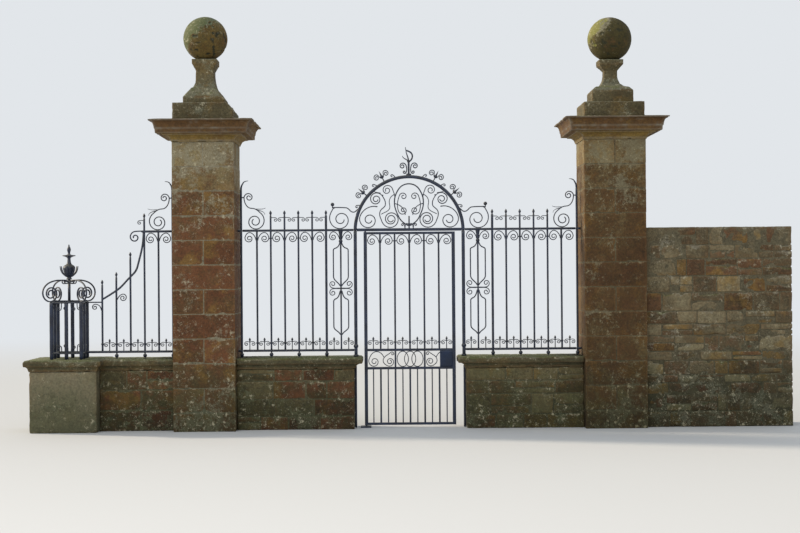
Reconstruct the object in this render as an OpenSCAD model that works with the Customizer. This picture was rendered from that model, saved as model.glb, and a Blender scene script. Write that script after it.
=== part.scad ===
// A garden gateway: two stone piers with ball finials, dwarf walls that carry
// wrought iron screens, and a pivot-hung single leaf under a semicircular overthrow.
// The ironwork stands in the plane Y = 0, and X = 0 is the middle of the gateway.

/* [Gateway] */
// Distance between the centres of the two gate posts
post_spacing = 1148; // [1120:2:1240]
// Side of a square gate post, and of the arch that continues it
post_w = 36; // [30:1:42]
// Side of the thinner leg that runs down the wall's end under each post
post_leg_w = 24; // [18:1:28]
// Clear way between the two coping ends
way_w = 1000; // [980:2:1040]
// Height of the middle of the transom above the ground
transom_z = 2100; // [1950:10:2250]
// Height of the transom bar
transom_h = 30; // [26:1:36]
// Depth of the transom bar, front to back
transom_d = 30; // [26:1:36]

/* [Gate leaf] */
// Gap between a stile and the coping end beside it
leaf_side_gap = 15; // [14:1:20]
// Side of a square stile
stile_w = 35; // [30:1:38]
// Gap between the leaf and the transom above it
leaf_top_gap = 9; // [7:1:14]
// Height of the underside of the leaf above the ground
leaf_foot_z = 25; // [24:1:40]
// Height of a rail of the leaf
leaf_rail_h = 25; // [20:1:30]
// Depth of a rail of the leaf
leaf_rail_d = 26; // [22:1:32]
// Height of the middle of the lower middle rail
lock_low_z = 628; // [600:2:660]
// Height of the middle of the upper middle rail
lock_high_z = 822; // [800:2:860]
// Number of bays across the leaf
leaf_bays = 6; // [4:2:8]
// Side of a square main bar
bar_w = 20; // [16:1:24]
// Side of a thin bar
thin_w = 13; // [10:1:16]
// Width of the lock case
lock_case_w = 150; // [130:2:160]
// Depth of the lock case
lock_case_d = 44; // [40:1:50]
// Radius of the two pivot pins
pin_r = 9; // [7:0.5:11]
// Clearance round a pivot pin
pin_clear = 0.5; // [0.4:0.1:1]
// Length of a pivot pin beyond the leaf
pin_len = 19; // [18:1:21]
// Height of the footstep plate under the heel of the leaf
footstep_h = 16; // [14:1:18]

/* [Scrollwork] */
// Thickness of a scroll bar seen from the front
scroll_t = 10; // [8:0.5:12]
// Depth of a scroll bar, front to back
scroll_d = 16; // [12:1:18]
// Number of facets in one turn of a small scroll
small_steps = 11; // [9:1:16]
// Number of facets in one turn of a large scroll
large_steps = 20; // [16:1:28]

/* [Piers] */
// Side of a square pier shaft
pier_w = 650; // [600:10:700]
// Distance between the centres of the two piers
pier_spacing = 4300; // [4200:10:4500]
// Height of a pier shaft
pier_h = 3020; // [2900:10:3150]
// Overall width of a pier cap
cap_w = 1080; // [1020:10:1140]
// Height of a pier cap at its edge
cap_h = 225; // [210:5:250]
// Rise of the weathered top of a pier cap
cap_rise = 22; // [15:1:30]
// Width of the plinth under a ball finial
plinth_w = 635; // [580:5:690]
// Height of the plinth under a ball finial
plinth_h = 150; // [130:5:170]
// Width of the concave pedestal at its foot
pedestal_w = 436; // [400:4:480]
// Height of the concave pedestal with its collar
pedestal_h = 465; // [435:5:500]
// Width of the neck of the pedestal
neck_w = 140; // [120:4:160]
// Width of the collar that the ball sits on
collar_w = 256; // [232:4:280]
// Height of the plinth under the left ball finial
left_plinth_h = 170; // [150:5:190]
// Height of the left pedestal with its collar
left_pedestal_h = 476; // [444:4:512]
// Width of the neck of the left pedestal
left_neck_w = 190; // [160:5:210]
// Width of the collar under the left ball
left_collar_w = 264; // [240:4:292]
// Diameter of a ball finial
ball_d = 472; // [430:5:480]
// Depth of the ball's seat in the collar
ball_seat = 8; // [5:1:12]

/* [Dwarf walls] */
// Thickness of a dwarf wall
wall_t = 380; // [340:10:420]
// Height of a dwarf wall under its coping
wall_h = 635; // [600:5:680]
// Height of the coping
coping_h = 120; // [105:5:130]
// Overhang of the coping at the front and back
coping_over = 60; // [50:2:70]
// Overhang of the coping at its gateway end
coping_end_over = 90; // [80:2:100]

/* [Side screens] */
// Number of bars in a side screen
screen_bars = 5; // [3:1:5]
// Distance from the last bar to the upright beside the pier
pier_bay = 166; // [150:2:180]
// Width of a pilaster bay, centre to centre of its uprights
pilaster_w = 310; // [290:2:320]
// Side of a square upright
upright_w = 26; // [22:1:30]
// Distance from a pier's face to the centre of the upright beside it
pier_gap = 40; // [30:1:50]
// Height of a screen rail
rail_h = 25; // [20:1:28]
// Depth of a screen rail
rail_d = 24; // [21:1:30]
// Height of the middle of the bottom rail
low_rail_z = 824; // [812:2:850]
// Height of a bar's tip above the middle of the top rail
tip_rise = 215; // [190:5:230]

/* [Wing] */
// Distance from the pier's face to the middle of the box standard
standard_reach = 1140; // [1100:10:1180]
// Side of the square box standard
standard_w = 350; // [330:10:380]
// Distance from the last bar to the side of the box standard
link_bay = 175; // [160:5:190]
// Height of the top of the box standard
standard_top_z = 1360; // [1280:10:1400]
// Side of the pedestal under the box standard
standard_base_w = 700; // [660:10:720]
// Overhang of the pedestal's cap
base_over = 55; // [50:1:60]

/* [Boundary wall] */
// Height of the boundary wall
boundary_h = 2100; // [1900:10:2200]
// Thickness of the boundary wall
boundary_t = 450; // [400:10:480]

/* [Hidden] */

$fn = 40;
bite = 1.5;
post_x = post_spacing / 2;
coping_top = wall_h + coping_h;
transom_top = transom_z + transom_h / 2;
transom_low = transom_z - transom_h / 2;
arch_z = transom_z - 12;
arch_in = post_x - post_w / 2;
arch_out = post_x + post_w / 2;
stile_x = way_w / 2 - leaf_side_gap - stile_w / 2;
leaf_top = transom_low - leaf_top_gap;
leaf_pitch = 2 * stile_x / leaf_bays;
leaf_in = stile_x - stile_w / 2;
pier_x = pier_spacing / 2;
pier_in = pier_x - pier_w / 2;
pier_out = pier_x + pier_w / 2;
coping_x = way_w / 2;
wall_x = coping_x + coping_end_over;
pil_x = post_x + pilaster_w;
pil_mid = post_x + pilaster_w / 2;
brk_x = pier_in - pier_gap;
wing_x = pier_out + pier_gap;
screen_pitch = (brk_x - pil_x - pier_bay) / screen_bars;
std_x = pier_out + standard_reach;
std_base_edge = std_x + standard_base_w / 2 + base_over;
tiny_steps = small_steps - 3;
low_rail_top = low_rail_z + rail_h / 2;
low_rail_low = low_rail_z - rail_h / 2;
cap_z = pier_h;
plinth_z = cap_z + cap_h + cap_rise;
low_gap = low_rail_low - coping_top;
foot_r = min(19, low_gap / 2 - 3);

// Points and paths in the plane of the ironwork

function unit(v) = v / norm(v);
function joined(a, b) = concat(a, [for (i = [1 : len(b) - 1]) b[i]]);
function reversed(p) = [for (i = [len(p) - 1 : -1 : 0]) p[i]];
function heading(p, i) = unit(p[min(i + 1, len(p) - 1)] - p[max(i - 1, 0)]);
function beside(p, w, tip) = let (n = len(p) - 1)
    [for (i = [0 : n]) p[i] + [-heading(p, i)[1], heading(p, i)[0]] * w / 2 * (1 + (tip - 1) * i / n)];
function bezier(a, b, c, d, n) = [for (i = [0 : n]) let (u = i / n, v = 1 - u)
    v * v * v * a + 3 * v * v * u * b + 3 * v * u * u * c + u * u * u * d];

// A smooth path through knots, each of them a point and the heading there
function sweep(a, b, n) = let (s = norm(b[0] - a[0]) * 0.38)
    bezier(a[0], a[0] + unit(a[1]) * s, b[0] - unit(b[1]) * s, b[0], n);
function via(k, n = 6) = concat([k[0][0]],
    [for (i = [1 : len(k) - 1]) let (p = sweep(k[i - 1], k[i], n)) for (j = [1 : n]) p[j]]);

// A volute is [centre, outer radius, angle where its stem joins, turns, direction]:
// it winds in from the stem, and a direction of 1 is anticlockwise
eye_share = 0.27;
function rim(v) = v[0] + v[1] * [cos(v[2]), sin(v[2])];
function leave(v) = v[4] * [sin(v[2]), -cos(v[2])];
function winding(v, steps) = let (n = ceil(steps * v[3]))
    [for (i = [1 : n]) let (u = i / n, a = v[2] + v[4] * 360 * v[3] * u, r = v[1] * pow(eye_share, u))
        v[0] + r * [cos(a), sin(a)]];
function crook_path(p, d, v, steps, swing) = let (q = rim(v), k = norm(q - p) * swing)
    concat(bezier(p, p + d * k, q + leave(v) * k, q, ceil(steps * 0.4)), winding(v, steps));
function scroll_path(v, w, steps) = let (p = rim(v), q = rim(w), k = norm(q - p) * 0.38)
    concat(reversed(winding(v, steps)),
        bezier(p, p + leave(v) * k, q + leave(w) * k, q, ceil(steps * 0.5)), winding(w, steps));
// From knots into a volute, and from one volute through knots into another
function knots_into(k, v, steps) = concat(via(concat(k, [[rim(v), -leave(v)]])), winding(v, steps));
function volute_to(v, k, w, steps) =
    concat(reversed(winding(v, steps)), knots_into(concat([[rim(v), leave(v)]], k), w, steps));

// An upright plate with its outline in X and Z, its depth centred on Y = 0
module plate(points, depth) {
    rotate([90, 0, 0]) linear_extrude(height = depth, center = true) polygon(points);
}

// A flat bar bent along a path in the plane of the ironwork
module ribbon(path, w = scroll_t, depth = scroll_d, tip = 1) {
    plate(concat(beside(path, w, tip), reversed(beside(path, -w, tip))), depth);
}

// A stem from a point, in a direction, that curls into one volute
module crook(p, d, v, steps = small_steps, w = scroll_t, swing = 0.38) {
    ribbon(crook_path(p, unit(d), v, steps, swing), w);
}

// A bar that curls into a volute at each end
module scroll(v, w, steps = large_steps, t = scroll_t) {
    ribbon(scroll_path(v, w, steps), t);
}

module both() {
    children();
    mirror([1, 0, 0]) children();
}

// A straight bar of square or oblong section between two points on its middle line
module upright(x, z0, z1, w, d) {
    translate([x - w / 2, -d / 2, z0]) cube([w, d, z1 - z0]);
}

module rail(x0, x1, z, h, d) {
    translate([x0, -d / 2, z - h / 2]) cube([x1 - x0, d, h]);
}

// A turned knob threaded on a bar
module knob(x, z, r) {
    translate([x, 0, z]) sphere(r = r);
}

// A band forged round a bar and the scrolls beside it
collar_h = 13;
module collar(x, z, half, depth = bar_w + 5) {
    rail(x - half, x + half, z, collar_h, depth);
}

// An upright ring of oval outline
module oval(x, z, rx, rz, t) {
    outline = [for (a = [0 : 15 : 359]) [cos(a), sin(a)]];
    difference() {
        plate([for (p = outline) [x + rx * p[0], z + rz * p[1]]], scroll_d);
        plate([for (p = outline) [x + (rx - t) * p[0], z + (rz - t) * p[1]]], scroll_d + 2);
    }
}

// A drop-shaped bud with a pointed tip
bud_h = 62;
bud_r = 15;
module bud(x, z) {
    translate([x, 0, z]) rotate_extrude()
        polygon([[0, 0], [7, 0], [9, 6], [6, 12], [bud_r, 30], [bud_r * 0.8, 42], [4, 56], [0, bud_h]]);
}

// A thin bar with a collar and a drop tip, and two small curls that spring from the collar;
// room is the clear distance to the bar on either side
spike_collar = 82;
module spike(x, z, room) {
    plain_spike(x, z);
    for (s = [-1, 1])
        crook([x + s * thin_w / 4, z + spike_collar - 1], [s, 0.25],
            [[x + s * room * 0.58, z + spike_collar - room * 0.36], room * 0.41, s > 0 ? 80 : 100, 1.3, -s],
            tiny_steps, scroll_t - 2);
}

module plain_spike(x, z) {
    upright(x, z - bite, z + spike_collar + 8, thin_w - 3, thin_w - 3);
    collar(x, z + spike_collar, thin_w * 0.65, thin_w + 3);
    translate([x, 0, z + spike_collar + 6]) rotate_extrude()
        polygon([[0, 0], [5, 0], [12, 13], [11, 22], [3, 36], [0, 39]]);
}

// A capital: two stems that spread from a bar, arch along under the rail and curl in beside
// the next bar, whose half width is edge
cap_drop = 90;
cap_low = 70;
function cap_shift(bay) = bay * 0.054;
module capital(x, z, bay, edge) {
    r = bay / 2 - cap_shift(bay) - edge - scroll_t / 2 - 1;
    collar(x, z - cap_drop + 4, bar_w / 2 + 5);
    for (s = [-1, 1])
        crook([x + s * (bar_w / 2 - bite), z - cap_drop], [s * 0.2, 1],
            [[x + s * (bay / 2 + cap_shift(bay)), z - cap_low], r, s > 0 ? 15 : 165, 1.5, -s],
            small_steps, scroll_t, 0.72);
}

// A collar that ties the curls of two capitals to the bar between them
module tie(x, z, edge) {
    collar(x, z - cap_low, edge + 1 + bite);
}

// Mouldings

// Silhouette of a block whose two ends follow one moulding, as [overhang, height] pairs
function both_ends(half, m) =
    concat([for (p = m) [half + p[0], p[1]]], [for (p = reversed(m)) [-half - p[0], p[1]]]);
// Silhouette with the moulding at its low end only, and a plain cut at its high end
function one_end(x0, x1, m) =
    concat([for (p = m) [x0 - p[0], p[1]]], [[x1, m[len(m) - 1][1]], [x1, m[0][1]]]);

// Quarter hollow from one point to another, steep at its foot
function hollow(x0, z0, x1, z1, n) = [for (i = [0 : n])
    [x1 - (x1 - x0) * cos(90 * i / n), z0 + (z1 - z0) * sin(90 * i / n)]];
// Quarter round from one point to another, flat at its foot
function swell(x0, z0, x1, z1, n) = [for (i = [0 : n])
    [x0 + (x1 - x0) * sin(90 * i / n), z1 - (z1 - z0) * cos(90 * i / n)]];

// A square block with mitred mouldings on its four sides
module mitred(points, width) {
    intersection() {
        plate(points, 2 * width);
        rotate([0, 0, 90]) plate(points, 2 * width);
    }
}

cap_over = (cap_w - pier_w) / 2;
cap_moulding = concat(
    [[0, 0], [cap_over * 0.05, 0], [cap_over * 0.05, cap_h * 0.06]],
    hollow(cap_over * 0.07, cap_h * 0.06, cap_over * 0.36, cap_h * 0.3, 4),
    [[cap_over * 0.42, cap_h * 0.3], [cap_over * 0.42, cap_h * 0.36]],
    [[cap_over * 0.7, cap_h * 0.36], [cap_over * 0.72, cap_h * 0.55]],
    hollow(cap_over * 0.75, cap_h * 0.58, cap_over * 0.97, cap_h * 0.92, 5),
    [[cap_over, cap_h * 0.93], [cap_over, cap_h], [(plinth_w - pier_w) / 2, cap_h + cap_rise]]);

// A finial is plinth height, pedestal height, neck, collar, and the shares of its block and shoulder
right_finial = [plinth_h, pedestal_h, neck_w, collar_w, 0.28, 0.395];
left_finial = [left_plinth_h, left_pedestal_h, left_neck_w, left_collar_w, 0.14, 0.31];
function finial_seat(f) = plinth_z + f[0] + f[1];
function pedestal_profile(f) = let (h = f[1], neck = f[2] / 2, collar = f[3] / 2) concat(
    [[pedestal_w / 2, 0], [pedestal_w / 2, h * f[4]]],
    [for (i = [0 : 6]) let (a = 90 * i / 6)
        [neck + (pedestal_w * f[5] - neck) * (1 - sin(a)), h * (0.37 + 0.28 * (1 - cos(a)))]],
    [[neck, h * 0.75], [collar * 0.92, h * 0.865], [collar, h * 0.885], [collar, h]]);

coping_moulding = concat(
    [[0, 0], [10, 0], [10, coping_h * 0.12]],
    hollow(12, coping_h * 0.12, coping_over - 12, coping_h * 0.45, 4),
    [[coping_over - 4, coping_h * 0.45]],
    swell(coping_over - 4, coping_h * 0.5, coping_over, coping_h * 0.62, 2),
    [[coping_over, coping_h * 0.86], [coping_over - 14, coping_h]]);
end_scale = coping_end_over / coping_over;
coping_end_moulding = [for (p = coping_moulding) [p[0] * end_scale, p[1]]];

// Piers

module pier_shaft() {
    color("#6b4a35") translate([pier_x - pier_w / 2, -pier_w / 2, 0]) cube([pier_w, pier_w, pier_h]);
}

module pier_cap() {
    color("#7c6238") translate([pier_x, 0, cap_z]) mitred(both_ends(pier_w / 2, cap_moulding), cap_w);
}

// A stone block with the moulding's wide part on top, and the concave pedestal that stands on it
module finial_pedestal(f) {
    color("#6d6350") {
        translate([pier_x - plinth_w / 2, -plinth_w / 2, plinth_z]) cube([plinth_w, plinth_w, f[0]]);
        translate([pier_x, 0, plinth_z + f[0]])
            mitred(both_ends(0, pedestal_profile(f)), pedestal_w);
    }
}

// The edge towards the gateway is broken away, from low on the plinth to the pedestal's slope
break_z = plinth_z + left_plinth_h * 0.34;
break_slope = 53;
break_run = 0.82 * pedestal_w;
module broken_pedestal() {
    difference() {
        finial_pedestal(left_finial);
        translate([pier_x - plinth_w / 2, 0, break_z]) rotate([0, -break_slope, 4])
            translate([-plinth_h, -plinth_w, 0]) cube([plinth_h + break_run, 2 * plinth_w, plinth_w]);
    }
}

module finial_ball(f) {
    color("#7a6a3c") translate([pier_x, 0, finial_seat(f)]) difference() {
        translate([0, 0, ball_d / 2 - ball_seat]) sphere(r = ball_d / 2, $fn = 64);
        translate([-ball_d, -ball_d, -ball_d]) cube([2 * ball_d, 2 * ball_d, ball_d]);
    }
}

// Dwarf walls

module dwarf_wall() {
    color("#6a5a48") translate([wall_x, -wall_t / 2, 0]) cube([pier_in - wall_x, wall_t, wall_h]);
}

// Length of coping with its moulding along both faces and mitred round its gateway end
module coping() {
    color("#5c594a") translate([0, 0, wall_h]) intersection() {
        plate(one_end(wall_x, pier_in, coping_end_moulding), 2 * wall_t);
        rotate([0, 0, 90]) rotate([90, 0, 0])
            linear_extrude(height = 2 * pier_spacing, center = true)
                polygon(both_ends(wall_t / 2, coping_moulding));
    }
}

wing_end = std_x - standard_base_w / 2;
module wing_wall() {
    color("#6a5a48") translate([pier_out, -wall_t / 2, 0]) cube([wing_end - pier_out, wall_t, wall_h]);
}

// The wing's coping runs into the pedestal's cap and is cut to it
module wing_coping() {
    color("#5c594a") difference() {
        translate([pier_out, 0, wall_h]) rotate([90, 0, 90])
            linear_extrude(height = wing_end - pier_out) polygon(both_ends(wall_t / 2, coping_moulding));
        standard_base_cap();
    }
}

module standard_base() {
    color("#6a5a48") translate([wing_end, -standard_base_w / 2, 0])
        cube([standard_base_w, standard_base_w, wall_h]);
}

base_moulding = [for (p = coping_moulding) [p[0] * base_over / coping_over, p[1]]];
module standard_base_cap() {
    color("#5c594a") translate([std_x, 0, wall_h])
        mitred(both_ends(standard_base_w / 2, base_moulding), 2 * standard_base_w);
}

module boundary_wall() {
    color("#6b5c49") translate([pier_out, -boundary_t / 2, 0])
        cube([std_base_edge - pier_out, boundary_t, boundary_h]);
}

// Gateway frame

module gate_post() {
    color("#22262c") {
        upright(post_x, coping_top, arch_z, post_w, post_w);
        // Its leg runs down the wall's end, from under the overhang of the coping
        difference() {
            upright(wall_x - post_leg_w / 2, 0, wall_h + coping_h / 2, post_leg_w, post_leg_w);
            coping();
        }
        knob(post_x, coping_top + 110, post_w * 0.72);
        rail(post_x - post_w * 0.75, post_x + post_w * 0.75, coping_top + 10, 20, post_w * 1.5);
    }
}

module arch_bar() {
    color("#22262c") translate([0, 0, arch_z]) rotate([90, 0, 0])
        rotate_extrude(angle = 180, $fn = 96) translate([post_x, 0]) square(post_w, center = true);
}

module transom() {
    color("#22262c") difference() {
        intersection() {
            rail(-arch_in, arch_in, transom_z, transom_h, transom_d);
            under_arch();
        }
        translate([-stile_x, 0, transom_low - 1])
            cylinder(r = pin_r + pin_clear, h = pin_len - leaf_top_gap + 4);
    }
}

// The space between the posts and inside the arch
module under_arch() {
    arch_disc(arch_in);
    translate([-arch_in, -post_w, transom_low - post_w])
        cube([2 * arch_in, 2 * post_w, arch_z - transom_low + post_w]);
}

// Everything inside the arch, cut to meet the arch's inner face and the transom's top face
module overthrow_scrolls() {
    color("#2a2e34") intersection() {
        union() {
            both() {
                heart_side();
                heart_filling();
                overthrow_side();
            }
            upright(0, transom_top, spot(0, 130)[1], bar_w - 4, scroll_d);
        }
        under_arch();
        translate([-post_x, -post_w, transom_top]) cube([2 * post_x, 2 * post_w, 2 * post_x]);
    }
}

// Points of the overthrow, from the middle of the transom's top, in units that follow the arch
reach = arch_in / 556;
function spot(x, z) = [x * reach, transom_top + z * reach];

// Heart-shaped ring in the middle: its side from the foot on the transom to the rounded head
module heart_side() {
    ribbon(via([[spot(-4, 25), [1, 0.4]], [spot(111, 125), [0.45, 1]], [spot(154, 275), [0, 1]],
        [spot(114, 408), [-0.6, 1]], [spot(-4, 472), [-1, 0]]], 5), scroll_t + 4);
}

module heart_filling() {
    scroll([spot(58, 337), 44 * reach, 20, 1.3, 1], [spot(62, 191), 50 * reach, -20, 1.3, -1], 12);
    ribbon(via([[spot(150, 263), [-1, -0.3]], [spot(62, 205), [-0.6, -1]], [spot(40, 140), [0, -1]]], 5));
    // Four small curls on the transom
    for (s = [-1, 1])
        crook(spot(44 - s * 3, -2), [s * 0.5, 1],
            [spot(44 + s * 25, 36), 17 * reach, s > 0 ? 150 : 30, 1.1, -s]);
}

module overthrow_side() {
    // The volute under the haunch, whose stem runs down and round into the large spiral on the transom
    haunch = [spot(350, 309), 76 * reach, 146, 1.9, -1];
    spiral = [spot(193, 97), 98 * reach, -20, 2.4, -1];
    ribbon(volute_to(haunch, [[spot(250, 255), [0.05, -1]], [spot(308, 178), [0.3, -1]]], spiral, 16),
        scroll_t + 1);
    collar_on(spot(281, 352));
    // The volute beside the heart
    crook(spot(150, 330), [0, 1], [spot(232, 405), 60 * reach, 165, 1.6, -1], 14);
    // The strand from the heart to the shoulder of the large spiral
    ribbon(via([[spot(149, 362), [1, -0.4]], [spot(209, 288), [0.1, -1]], [spot(203, 228), [0, -1]],
        [spot(296, 150), [1, -0.6]]], 5), scroll_t - 1);
    // The corner volute, its tail drawn out under the arch
    crook(spot(334, 229), [1, 0.3], [spot(425, 90), 103 * reach, 10, 1.5, -1], 16, scroll_t + 1);
    collar_on(spot(345, 232));
    // A short tail that ties the haunch volute to the arch
    ribbon(via([[spot(300, 376), [1, 0.15]], [spot(392, 400), [1, 0.5]]], 5), scroll_t - 2);
}

module collar_on(p) {
    collar(p[0], p[1], scroll_t, scroll_d + 5);
}

// Ornaments on the back of the arch

module arch_disc(r) {
    translate([0, 0, arch_z]) rotate([90, 0, 0]) cylinder(r = r, h = 2 * post_w, center = true, $fn = 96);
}

module cut_to_arch() {
    difference() {
        children();
        arch_disc(arch_out);
    }
}

module arch_finial() {
    crown = arch_z + arch_out;
    color("#2a2e34") cut_to_arch() {
        upright(0, crown - 6, crown + 150, 22, 16);
        rail(-26, 26, crown + 6, 20, 26);
        both() scroll([[66, crown + 96], 38, 160, 1.4, -1], [[46, crown + 34], 20, 200, 1.1, 1], 14);
        collar(0, crown + 142, 15);
        // The tip leans to one side, and the leaf on that side has lost its upper half
        ribbon(via([[[0, crown + 140], [0, 1]], [[-28, crown + 262], [-0.1, 1]],
            [[-34, crown + 298], [-0.1, 1]]]), 18, 16, 0.35);
        ribbon(via([[[4, crown + 144], [1, 0.5]], [[40, crown + 208], [-0.1, 1]],
            [[-26, crown + 262], [-1, 0.3]]]), 17);
        ribbon(via([[[-2, crown + 144], [-0.6, 1]], [[-66, crown + 204], [-0.2, 1]]]), 15, scroll_d, 0.4);
    }
}

// A leaf ball on a short stem with a curl on each side and a spike above
module crocket(a, size) {
    translate([0, 0, arch_z]) rotate([0, 90 - a, 0]) translate([0, 0, arch_out]) {
        upright(0, -8, size, 12, 12);
        translate([0, 0, size + 8]) sphere(r = 18);
        translate([0, 0, size + 20]) rotate_extrude() polygon([[0, 0], [11, 0], [6, 26], [0, 60]]);
        both() crook([5, size - 6], [1, 0.3], [[54, size + 22], 34, 100, 1.4, -1], small_steps, scroll_t - 1);
    }
}

// A small leaf that hooks off the arch
module hook_leaf(a, s) {
    translate([0, 0, arch_z]) rotate([0, 90 - a, 0]) translate([0, 0, arch_out])
        crook([0, -8], [s * 0.8, 1], [[s * 34, 18], 14, s > 0 ? 110 : 70, 0.8, -s], small_steps, scroll_t);
}

module crockets() {
    color("#2a2e34") cut_to_arch() {
        crocket(63.5, 42);
        crocket(40, 36);
        hook_leaf(55, 1);
        hook_leaf(28, 1);
        hook_leaf(76, 1);
    }
}

// The leaf: frame pieces meet face to face

module hinge_stile() {
    color("#22262c") {
        upright(-stile_x, leaf_foot_z, leaf_top, stile_w, stile_w);
        translate([-stile_x, 0, leaf_foot_z - pin_len])
            cylinder(r = pin_r, h = leaf_top - leaf_foot_z + 2 * pin_len);
    }
}

module lock_stile() {
    color("#22262c") upright(stile_x, leaf_foot_z, leaf_top, stile_w, stile_w);
}

leaf_top_z = leaf_top - leaf_rail_h / 2;
leaf_low_z = leaf_foot_z + leaf_rail_h / 2;
module leaf_rails() {
    color("#22262c") for (z = [leaf_low_z, lock_low_z, lock_high_z, leaf_top_z])
        rail(-leaf_in, leaf_in, z, leaf_rail_h, leaf_rail_d);
}

function leaf_bar_x(i) = -stile_x + leaf_pitch * i;

// Height of a bar's knob above the rail
knob_rise = 70;
module leaf_upper_panel() {
    z0 = lock_high_z + leaf_rail_h / 2;
    z1 = leaf_top_z - leaf_rail_h / 2;
    color("#2a2e34") {
        for (i = [1 : leaf_bays - 1]) {
            upright(leaf_bar_x(i), z0, z1, bar_w, bar_w);
            knob(leaf_bar_x(i), z0 + knob_rise, bar_w * 0.78);
            if (i % 2 == 1) capital(leaf_bar_x(i), z1, leaf_pitch, stile_w / 2);
            else tie(leaf_bar_x(i), z1, stile_w / 2);
        }
        for (i = [0 : leaf_bays - 1])
            spike(leaf_bar_x(i) + leaf_pitch / 2, z0 + bite, (leaf_pitch - stile_w) / 2);
    }
}

// Scrolls between the two middle rails, cut to meet them
module leaf_lock_band() {
    z0 = lock_low_z + leaf_rail_h / 2;
    z1 = lock_high_z - leaf_rail_h / 2;
    zm = (z0 + z1) / 2;
    r = (z1 - z0) / 2;
    inner = leaf_bar_x(leaf_bays - 2);
    u = (leaf_in - inner) / 294;
    v = r / 84;
    color("#2a2e34") intersection() {
        union() {
            both() {
                upright(inner, z0, z1, bar_w, bar_w);
                // From the shoulder of its neighbour, over under the upper rail, down by the stile and in
                stile_volute = [[inner + 224 * u, zm - 27 * v], 62 * min(u, v), 20, 1.6, -1];
                ribbon(knots_into([[[inner + 118 * u, zm + 12 * v], [0.5, 1]],
                    [[inner + 200 * u, z1 - scroll_t / 2], [1, 0]]], stile_volute, 14), scroll_t - 1);
                // From a small curl by the bar, out and down, and round into a larger volute
                ribbon(volute_to([[inner + 32 * u, zm + 54 * v], 22 * min(u, v), 50, 1.1, 1],
                    [[[inner + 131 * u, zm - 16 * v], [0.05, -1]]],
                    [[inner + 59 * u, zm - 28 * v], 52 * min(u, v), -55, 1.6, -1], 14), scroll_t - 1);
                // One of the outer pair of three interlaced rings
                oval(inner / 2, zm, inner / 2 - bar_w / 2 + bite - scroll_t / 2, r + 1, scroll_t - 1);
            }
            oval(0, zm, inner / 2 - bar_w / 2 + bite - scroll_t / 2, r + 1, scroll_t - 1);
        }
        translate([-leaf_in, -post_w, z0])
            cube([2 * leaf_in - lock_case_w + stile_w / 2, 2 * post_w, z1 - z0]);
    }
}

module leaf_lower_panel() {
    z0 = leaf_low_z + leaf_rail_h / 2;
    z1 = lock_low_z - leaf_rail_h / 2;
    color("#2a2e34") {
        for (i = [1 : leaf_bays - 1]) upright(leaf_bar_x(i), z0, z1, bar_w, bar_w);
        for (i = [0 : leaf_bays - 1]) upright(leaf_bar_x(i) + leaf_pitch / 2, z0, z1, thin_w, thin_w);
    }
}

module lock_case() {
    z0 = lock_low_z + leaf_rail_h / 2;
    z1 = lock_high_z - leaf_rail_h / 2;
    color("#1d2026") translate([leaf_in - lock_case_w + stile_w / 2, -lock_case_d / 2, z0])
        cube([lock_case_w - stile_w / 2, lock_case_d, z1 - z0]);
}

keep_t = 4;
module lock_keep() {
    z0 = wall_h + coping_h * 0.5;
    h = coping_h * 0.36;
    color("#1d2026") difference() {
        translate([way_w / 2 - keep_t, -30, z0]) cube([keep_t, 60, h]);
        translate([way_w / 2 - keep_t - 1, -7, z0 + h / 4]) cube([keep_t + 2, 14, h / 2]);
    }
}

module footstep_plate() {
    color("#1d2026") difference() {
        translate([-stile_x - 60, -60, 0]) cube([110, 120, footstep_h]);
        translate([-stile_x, 0, leaf_foot_z - pin_len - 1]) cylinder(r = pin_r + pin_clear, h = footstep_h);
    }
}

// Side screens

function screen_x(i) = pil_x + screen_pitch * i;
screen_x0 = pil_x + upright_w / 2;
screen_x1 = brk_x - upright_w / 2;

// Ball foot between a rail and the coping
module ball_foot(x) {
    translate([x, 0, coping_top]) cylinder(r = 8, h = low_rail_low - coping_top + bite);
    knob(x, coping_top + low_gap / 2, foot_r);
}

module screen() {
    tip = transom_z + tip_rise;
    rail_low = transom_z - rail_h / 2;
    color("#2a2e34") {
        rail(screen_x0, screen_x1, transom_z, rail_h, rail_d);
        rail(screen_x0, screen_x1, low_rail_z, rail_h, rail_d);
        for (i = [1 : screen_bars]) {
            x = screen_x(i);
            // The bar under the bracket stops at the rail, and the others rise above it
            upright(x, low_rail_z, i == screen_bars ? transom_z : tip - bud_h + 6, bar_w, bar_w);
            if (i < screen_bars) bud(x, tip - bud_h);
            knob(x, low_rail_top + knob_rise, bar_w * 0.78);
            for (s = [-1, 1])
                if (i + s / 2 < screen_bars - 1) tip_curl(x, s, tip);
            if (i % 2 == 1) capital(x, rail_low, screen_pitch, upright_w / 2);
            else tie(x, rail_low, upright_w / 2);
            if (i % 2 == 0) ball_foot(x);
        }
        for (i = [0 : screen_bars - 1])
            spike(screen_x(i) + screen_pitch / 2, low_rail_top, (screen_pitch - upright_w) / 2);
        spike((screen_x(screen_bars) + brk_x) / 2, low_rail_top, (screen_pitch - upright_w) / 2);
    }
}

// A small curl that hangs from the side of a bar under its tip
tip_drop = 78;
module tip_curl(x, s, tip) {
    r = screen_pitch / 6;
    crook([x + s * (bar_w / 2 - bite), tip - tip_drop], [s, 0.1],
        [[x + s * screen_pitch / 3, tip - tip_drop - r], r, 90, 1.2, -s], tiny_steps, scroll_t - 2);
}

// Pilaster bay beside the gate post, drawn in units that follow its width
pilaster_unit = pilaster_w / 310;
trumpet_h = 92 * pilaster_unit;
shoulder_rise = 236 * pilaster_unit;
quatre_z = transom_z - (transom_z - low_rail_z) * 0.486;
// Angle where a stem from the middle collar joins a volute in the quarter (s, t)
function quarter(s, t) = s > 0 ? -70 * t : 180 + 70 * t;
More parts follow.
